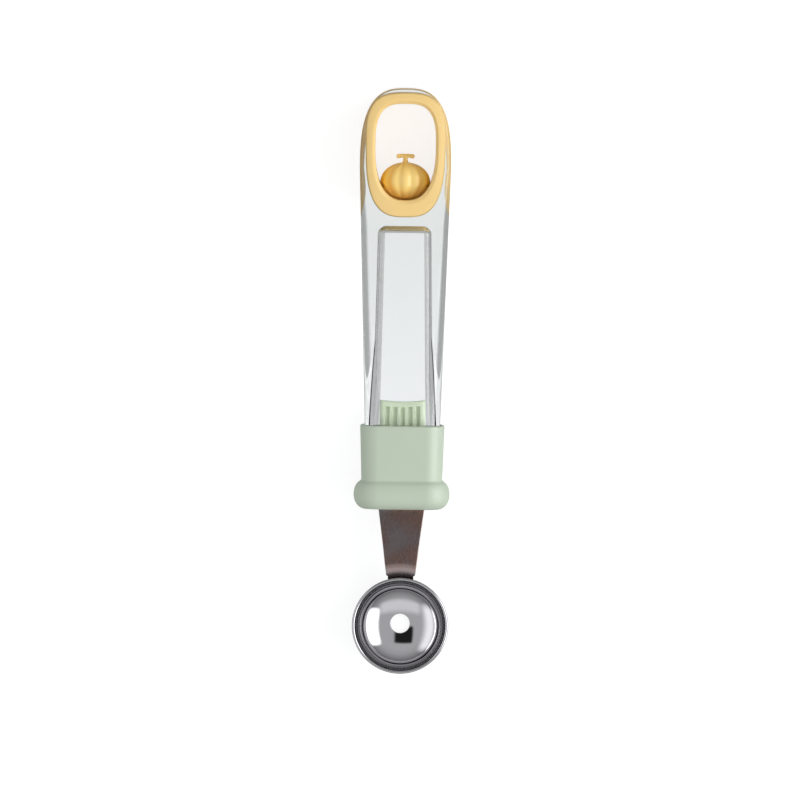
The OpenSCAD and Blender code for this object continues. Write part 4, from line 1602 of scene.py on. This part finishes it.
@dataclass
class Shank:
    """The steel strip: tang, tapering shank, bend over the scoop's wall and welded tab."""

    collar: Collar
    neck_w: float = 8.6
    tab_w: float = 7.7
    tang_w: float = 10.0
    bend_r: float = 5.3
    bend_low: float = 18.0
    tab_low: float = 42.0
    weld_gap: float = 0.03
    tab_step: float = 0.95
    step_soft: float = 0.15
    corner_r: float = 0.16
    exit_r: float = 2.0
    wrap_l: float = 5.0
    shoulder_step: float = 0.01
    arc: int = 5
    flat: int = 21
    exit_rows: int = 7
    climb_rows: int = 29
    bend_rows: int = 23
    tab_rows: int = 13

    def build(self) -> bpy.types.Object:
        """Carries a strip's section along its path.

        The path is level to the collar's end, climbs straight to the bend, turns over it on a circle
        and follows the scoop's wall down, which is a quarter ellipse. Past the last stretch of the climb
        each point also moves back as the scoop's circle does, so that bend and tab hug the wall.

        Returns:
            The piece.
        """
        scoop, tang = ScoopSizes.read(), Place.of("shank")
        self.bowl_y, self.rim_z = scoop.centre[1], scoop.centre[2]
        axis_z, low_y = self.collar.axis_z, self.collar.low_y
        wall = np.array([scoop.radius, scoop.depth]) + self.weld_gap
        wall_r = wall[0]
        low, tab = math.radians(self.bend_low), math.radians(self.tab_low)

        def down(angle: Array | float) -> Array:
            """Returns the cosine and the negative sine of an angle below the rim."""
            return np.stack([np.cos(angle), -np.sin(angle)], axis=-1)

        low_out = unit(down(low) / wall)
        centre = down(low) * wall + self.bend_r * low_out
        exit_p = np.array([low_y - self.bowl_y, axis_z + self.collar.strip_t / 2 - self.rim_z])
        reach = exit_p - centre
        climb = math.atan2(-reach[1], reach[0]) + math.asin(self.bend_r / math.hypot(*reach))
        up = np.array([math.sin(climb), math.cos(climb)])
        crest = centre + self.bend_r * up
        level_up = np.array([0.0, 1.0])
        # Tang and the small bend at the collar's end
        start = np.array([tang.high[1] - self.bowl_y, exit_p[1]])
        half_bend = self.exit_r * math.tan(climb / 2)
        along = unit(crest - exit_p)
        turn = np.linspace(0, climb, self.exit_rows)
        pivot = exit_p + np.array([half_bend, self.exit_r])
        exit_arc = pivot + self.exit_r * np.column_stack([-np.sin(turn), -np.cos(turn)])
        exit_up = np.column_stack([np.sin(turn), np.cos(turn)])
        # Climb, bend and tab
        climb_s = np.linspace(0, 1, self.climb_rows + 2)[1:-1, None]
        straight = lerp(exit_p + along * half_bend, crest, climb_s)
        bend_end = math.pi + math.atan2(low_out[1], low_out[0])
        bend_t = np.linspace(QUARTER - climb, bend_end, self.bend_rows)
        bend_up = np.column_stack([np.cos(bend_t), np.sin(bend_t)])
        bend = centre + self.bend_r * bend_up
        tab_t = down(np.linspace(low, tab, self.tab_rows + 1)[1:])
        tab_p, tab_up = tab_t * wall, -unit(tab_t / wall)
        shoulder = self.collar.foot_y - self.bowl_y
        tang_p = np.array([start, [shoulder + self.shoulder_step, exit_p[1]], [shoulder, exit_p[1]]])
        path = np.concatenate([tang_p, exit_arc, straight, bend, tab_p])
        ups = np.concatenate([np.tile(level_up, (len(tang_p), 1)), exit_up,
                              np.tile(up, (self.climb_rows, 1)), bend_up, tab_up])
        half = self._half_width(path[:, 0], exit_p[0], wall_r)
        half[:2] = self.tang_w / 2
        wrap = smooth(share_of(path[:, 0], crest[0] + self.wrap_l, crest[0]))
        offsets, outward = round_rect(half, self.collar.strip_t / 2, self.corner_r, self.arc, self.flat)
        points, normals = self._swept(path, ups, wrap, offsets, outward)
        surface = Surface()
        surface.patch(points[:2], normals[:2], closed=True)
        surface.face(points[1], points[2], (0.0, 1.0, 0.0))
        surface.patch(points[2:], normals[2:], closed=True)
        surface.cap(points[0], (0.0, 1.0, 0.0))
        surface.cap(points[-1], (0.0, -tab_up[-1][1], tab_up[-1][0]))
        return surface.build("steel_shank")

    def _half_width(self, distance: Array, exit_d: float, wall_r: float) -> Array:
        """Works out the strip's half width, which tapers to the neck and then steps in for the tab.

        Args:
            distance: Distances from the scoop's axis.
            exit_d: Distance of the collar's end.
            wall_r: Distance of the scoop's wall.

        Returns:
            The half width at each distance.
        """
        taper = lerp(self.collar.strip_w, self.neck_w, share_of(distance, exit_d, wall_r + self.tab_step))
        step_d, soft = wall_r + self.tab_step, self.step_soft
        step = smooth(share_of(distance, step_d + soft, step_d - soft))
        return lerp(taper, self.tab_w, step) / 2

    def _swept(self, path: Array, ups: Array, wrap: Array, offsets: Array,
               outward: Array) -> tuple[Array, Array]:
        """Places a section square to each point of the path.

        Args:
            path: Distance from the scoop's axis and height over its rim plane of the strip's top.
            ups: Directions out of the strip's top.
            wrap: How far each point moves back with the scoop's circle, from 0 to 1.
            offsets: Section offsets [across, up] from the strip's middle.
            outward: Directions out of the section.

        Returns:
            The grid of points and its normals.
        """
        middle = path - ups * self.collar.strip_t / 2
        flat = middle[:, None] + ups[:, None] * offsets[..., 1:]
        x = offsets[..., 0]
        distance = flat[..., 0]
        round_d = np.sqrt(np.maximum(distance ** 2 - x ** 2, 0))
        y = self.bowl_y + lerp(distance, round_d, wrap[:, None])
        points = np.stack([x, y, self.rim_z + flat[..., 1]], axis=-1)
        out = np.concatenate([outward[..., :1], ups[:, None] * outward[..., 1:]], axis=-1)
        return points, facing(grid_normals(points, closed=True), out)


@dataclass
class Scoop:
    """The polished round scoop with its rounded rim and its vent hole."""

    vent_d: float = 5.8
    vent_edge_r: float = 0.12
    around: int = 256
    wall_rows: int = 72
    rim_rows: int = 19
    edge_rows: int = 6

    def build(self) -> bpy.types.Object:
        """Turns the wall's section round the scoop's upright axis.

        The section runs up the inner quarter ellipse from the vent, over the rim on a half circle as
        wide as the wall, down the outer quarter ellipse, and back through the vent's wall. An ellipse's
        point at the angle u is its half axes times cosine and sine, and its normal is cosine and sine
        over those half axes.

        Returns:
            The piece.
        """
        sizes = ScoopSizes.read()
        centre = np.array(sizes.centre)
        outer = np.array([sizes.radius, sizes.depth])
        inner = outer - sizes.wall_t
        hole, half = self.vent_d / 2, sizes.wall_t / 2
        edge = hole + self.vent_edge_r
        surface = Surface()
        for axes, side in ((inner, -1.0), (outer, 1.0)):
            u = np.linspace(math.acos(edge / axes[0]), 0, self.wall_rows)
            out = side * unit(np.column_stack([np.cos(u), -np.sin(u)]) / axes)
            self._turned(surface, centre, axes[0] * np.cos(u), -axes[1] * np.sin(u), out[:, 0], out[:, 1])
        over = np.linspace(math.pi, 0, self.rim_rows)
        self._turned(surface, centre, outer[0] - half + half * np.cos(over), half * np.sin(over),
                     np.cos(over), np.sin(over))
        # The vent's wall, with a small round at both ends
        turn = np.linspace(0, QUARTER, self.edge_rows)
        in_z, out_z = (-axes[1] * math.sqrt(1 - (edge / axes[0]) ** 2) for axes in (inner, outer))
        soft = self.vent_edge_r
        ring = edge - soft * np.sin(turn)
        self._turned(surface, centre, ring, out_z + soft * (1 - np.cos(turn)), -np.sin(turn), -np.cos(turn))
        self._turned(surface, centre, ring, in_z - soft * (1 - np.cos(turn)), -np.sin(turn), np.cos(turn))
        self._turned(surface, centre, np.full(2, hole), np.array([out_z + soft, in_z - soft]),
                     np.full(2, -1.0), np.zeros(2))
        return surface.build("polished_scoop")

    def _turned(self, surface: Surface, centre: Array, radius: Array, height: Array,
                out: Array, rise: Array) -> None:
        """Adds a stretch of the section, turned round an upright axis.

        Args:
            surface: Surface that takes it.
            centre: Point of the axis that the heights start from.
            radius: Radius of each point of the section.
            height: Height of each point.
            out: Its normal's part away from the axis.
            rise: Its normal's part upwards.
        """
        t = np.linspace(0, 2 * math.pi, self.around, endpoint=False)
        cos, sin = np.cos(t), np.sin(t)

        def spun(across: Array, up: Array) -> Array:
            """Returns a grid of a section's row turned through all angles."""
            level = across[:, None]
            return np.stack([level * cos, level * sin, np.tile(up[:, None], len(t))], axis=-1)

        surface.patch(centre + spun(radius, height), spun(out, rise), closed=True)


@dataclass(frozen=True)
class Panel:
    """A patch of the room with soft edges: a lamp's cloth, or the dark wall behind the camera.

    Its middle leans from straight up by angles towards +X and +Y, and it reaches half angles each way.
    """

    lean_x: float
    lean_y: float
    half_x: float
    half_y: float
    soft: float
    brightness: float

    def over(self, tree: Tree, direction: Socket, room: Socket) -> Socket:
        """Lays the panel over a room.

        Args:
            tree: The room's node tree.
            direction: Direction from the tool.
            room: Brightness without the panel.

        Returns:
            The brightness with the panel.
        """
        lean = (math.tan(math.radians(self.lean_x)), math.tan(math.radians(self.lean_y)), 1.0)
        middle = Vector(lean).normalized()
        side = Vector((0.0, 1.0, 0.0)).cross(middle).normalized()
        up = middle.cross(side)
        reach = [math.tan(math.radians(half + edge * self.soft))
                 for half in (self.half_x, self.half_y) for edge in (1, -1)]
        names = ("Outer_X", "Inner_X", "Outer_Y", "Inner_Y")
        mask = tree.group(Effects.panel_mask(), Direction=direction, Middle=tuple(middle), Side=tuple(side),
                          Up=tuple(up), **dict(zip(names, reach))).outputs["Mask"]
        return tree.math("MULTIPLY_ADD", mask, tree.math("SUBTRACT", self.brightness, room), room)


@dataclass(frozen=True)
class Studio:
    """White table, soft lamps, pale room and the camera of the photograph."""

    # Camera: distance, width of the view at the tool, tilt towards the hanging end, roll, aim, clipping
    distance: float = 3.0
    span: float = 0.2396
    tilt: float = 3.5
    roll: float = 0.68
    aim: Triple = (-0.0008, -0.0055, 0.0125)
    clip: Pair = (0.1, 20.0)
    # Room: brightness low down and overhead, the heights between which it changes, its colour
    horizon: float = 0.24
    zenith: float = 0.62
    rise: Pair = (0.1, 0.75)
    cool: Colour = (0.96, 0.98, 1.0)
    # Table: its half size, how much of it is lit by itself near the tool, and the angles from
    # straight down between which its white fades out for metal and clear plastic
    table: float = 3.0
    table_drop: float = 0.05
    table_white: Colour = (0.9, 0.9, 0.9)
    own_light: float = 0.65
    own_level: float = 1.25
    near: float = 0.12
    far: float = 0.3
    white_angle: float = 5.0
    fade_angle: float = 22.0
    white_level: float = 1.06
    # What clear plastic sees of the white table to its sides, and the drops over which that comes in
    side_level: float = 0.5
    side_drop: Pair = (-0.3, 0.1)

    # Soft lamps at the right, the left and the scoop's end, and the dark behind the camera
    panels: tuple[Panel, ...] = (
        Panel(lean_x=57.0, lean_y=2.0, half_x=14.0, half_y=29.0, soft=7.0, brightness=5.2),
        Panel(lean_x=-61.0, lean_y=6.0, half_x=13.0, half_y=38.0, soft=10.0, brightness=1.5),
        Panel(lean_x=0.0, lean_y=-38.0, half_x=34.0, half_y=12.0, soft=7.0, brightness=1.0),
        Panel(lean_x=-7.0, lean_y=15.5, half_x=16.0, half_y=15.5, soft=3.0, brightness=0.02),
    )

    def build(self) -> None:
        """Builds the camera, the room with its lamps and the table."""
        scene = bpy.context.scene
        scene.view_settings.view_transform = "Standard"
        self._camera(scene)
        self._room(scene)
        self._table()

    def _camera(self, scene: bpy.types.Scene) -> None:
        """Adds the camera: it looks down, tilted and rolled as the photograph's does.

        Args:
            scene: Scene that takes it.
        """
        camera = bpy.data.cameras.new("camera")
        camera.lens = camera.sensor_width * self.distance / self.span
        camera.clip_start, camera.clip_end = self.clip
        holder = bpy.data.objects.new("camera", camera)
        tilt, roll = math.radians(self.tilt), math.radians(self.roll)
        back = Vector((0.0, math.sin(tilt), math.cos(tilt)))
        turn = Matrix.Rotation(-tilt, 4, "X") @ Matrix.Rotation(roll, 4, "Z")
        holder.matrix_world = Matrix.Translation(Vector(self.aim) + back * self.distance) @ turn
        scene.collection.objects.link(holder)
        scene.camera = holder

    def _room(self, scene: bpy.types.Scene) -> None:
        """Adds the room: white to the camera, and to the tool a dim room with soft lamps.

        Args:
            scene: Scene that takes it.
        """
        world = bpy.data.worlds.new("room")
        scene.world = world
        world.use_nodes = True
        world.node_tree.nodes.clear()
        tree = Tree(world.node_tree)
        direction = tree.add("ShaderNodeTexCoord").outputs["Generated"]
        parts = tree.add("ShaderNodeSeparateXYZ")
        tree.link(direction, parts.inputs[0])
        strength = tree.ramp(parts.outputs[2], *self.rise, self.horizon, self.zenith)
        for panel in self.panels:
            strength = panel.over(tree, direction, strength)
        path = tree.add("ShaderNodeLightPath")
        mirrored = self._mirrored(tree, path)
        down = tree.math("MULTIPLY", parts.outputs[2], -1.0)
        outer, inner = (math.cos(math.radians(a)) for a in (self.fade_angle, self.white_angle))
        below = tree.ramp(down, outer, inner, 0.0, self.white_level)
        beside = tree.ramp(down, *self.side_drop, 0.0, self.side_level)
        beside = tree.math("MULTIPLY", beside, path.outputs["Is Transmission Ray"])
        strength = tree.math("MAXIMUM", strength, tree.math("MULTIPLY", below, mirrored))
        strength = tree.math("MAXIMUM", strength, beside)
        room = tree.add("ShaderNodeBackground")
        room.inputs["Color"].default_value = (*self.cool, 1.0)
        tree.link(strength, room.inputs["Strength"])
        white = tree.add("ShaderNodeBackground")
        white.inputs["Color"].default_value = (1.0, 1.0, 1.0, 1.0)
        mix = tree.add("ShaderNodeMixShader")
        tree.link(path.outputs["Is Camera Ray"], mix.inputs[0])
        tree.link(room.outputs[0], mix.inputs[1])
        tree.link(white.outputs[0], mix.inputs[2])
        tree.link(mix.outputs[0], tree.add("ShaderNodeOutputWorld").inputs["Surface"])

    def _mirrored(self, tree: Tree, path: bpy.types.Node) -> Socket:
        """Returns one for rays that metal or clear plastic sends on, and nought for others."""
        return tree.math("MAXIMUM", path.outputs["Is Transmission Ray"], path.outputs["Is Glossy Ray"])

    def _table(self) -> None:
        """Adds the table, which keeps the tool's shadow and turns to plain white further out."""
        s, z = self.table, -self.table_drop * MM
        mesh = bpy.data.meshes.new("table")
        mesh.from_pydata([(-s, -s, z), (s, -s, z), (s, s, z), (-s, s, z)], [], [(0, 1, 2, 3)])
        table = bpy.data.objects.new("table", mesh)
        bpy.context.scene.collection.objects.link(table)
        material = bpy.data.materials.new("table")
        material.use_nodes = True
        material.node_tree.nodes.clear()
        tree = Tree(material.node_tree)
        lit = tree.add("ShaderNodeBsdfDiffuse")
        lit.inputs["Color"].default_value = (*self.table_white, 1.0)
        own = tree.add("ShaderNodeEmission")
        own.inputs["Strength"].default_value = self.own_level
        distance = tree.vector("LENGTH", tree.vector("MULTIPLY", tree.object_space(), (1.0, 1.0, 0.0)))
        away = tree.ramp(distance, self.near, self.far, self.own_light, 1.0)
        path = tree.add("ShaderNodeLightPath")
        mix = tree.add("ShaderNodeMixShader")
        tree.link(tree.math("MULTIPLY", away, path.outputs["Is Camera Ray"]), mix.inputs[0])
        tree.link(lit.outputs[0], mix.inputs[1])
        tree.link(own.outputs[0], mix.inputs[2])
        # Metal and clear plastic look through to the white under the table, which the room holds
        through = tree.add("ShaderNodeMixShader")
        tree.link(self._mirrored(tree, path), through.inputs[0])
        tree.link(mix.outputs[0], through.inputs[1])
        tree.link(tree.add("ShaderNodeBsdfTransparent").outputs[0], through.inputs[2])
        tree.link(through.outputs[0], tree.add("ShaderNodeOutputMaterial").inputs["Surface"])
        mesh.materials.append(material)


def main() -> None:
    """Builds the studio and every piece, and reports each piece."""
    logging.basicConfig(level=logging.INFO, format="%(message)s")
    Studio().build()
    handle = ClearHandle()
    collar = Collar(handle)
    clear = ClearPlastic()
    yellow = MouldedPlastic(Slot.YELLOW, colour=(0.93, 0.64, 0.24), gloss=0.42, sheen=0.8)
    # The melon's sides take a deeper tone as painted shading
    amber = MouldedPlastic(Slot.AMBER, colour=(0.95, 0.68, 0.22), gloss=0.34, side_shading=(1.0, 0.7, 0.09),
                           side_shading_from=4.0, side_shading_to=7.4)
    green = MouldedPlastic(Slot.GREEN, colour=(0.515, 0.59, 0.46), gloss=0.5, grain=2200.0, sheen=1.0)
    dark_green = MouldedPlastic(Slot.DARK_GREEN, colour=(0.76, 0.86, 0.64), gloss=0.45)
    brushed = Steel(Slot.BRUSHED, Lay.ALONG, colour=(0.34, 0.285, 0.285), gloss=0.22, line_gloss=0.12,
                    line_relief=0.2, stain=(0.37, 0.235, 0.2))
    polished = Steel(Slot.POLISHED, Lay.ROUND, colour=(0.57, 0.555, 0.57), gloss=0.03, line_gloss=0.03,
                     line_relief=0.03, centre=ScoopSizes.read().centre[:2])
    ring_finish = yellow.material()
    dress(handle.build(), Body.HANDLE, "handle_body", clear.material())
    for node in ("ring_front", "ring_back"):
        dress(WindowRing(node).build(), Body.HANDLE, node, ring_finish)
    dress(SmallMelon().build(), Body.HANDLE, "ornament", amber.material())
    dress(collar.build(), Body.SCOOP, "collar", green.material())
    dress(RibbedPlug(collar).build(), Body.SCOOP, "plug", dark_green.material())
    dress(Shank(collar).build(), Body.SCOOP, "shank", brushed.material())
    dress(Scoop().build(), Body.SCOOP, "bowl", polished.material())


if __name__ == "__main__":
    main()
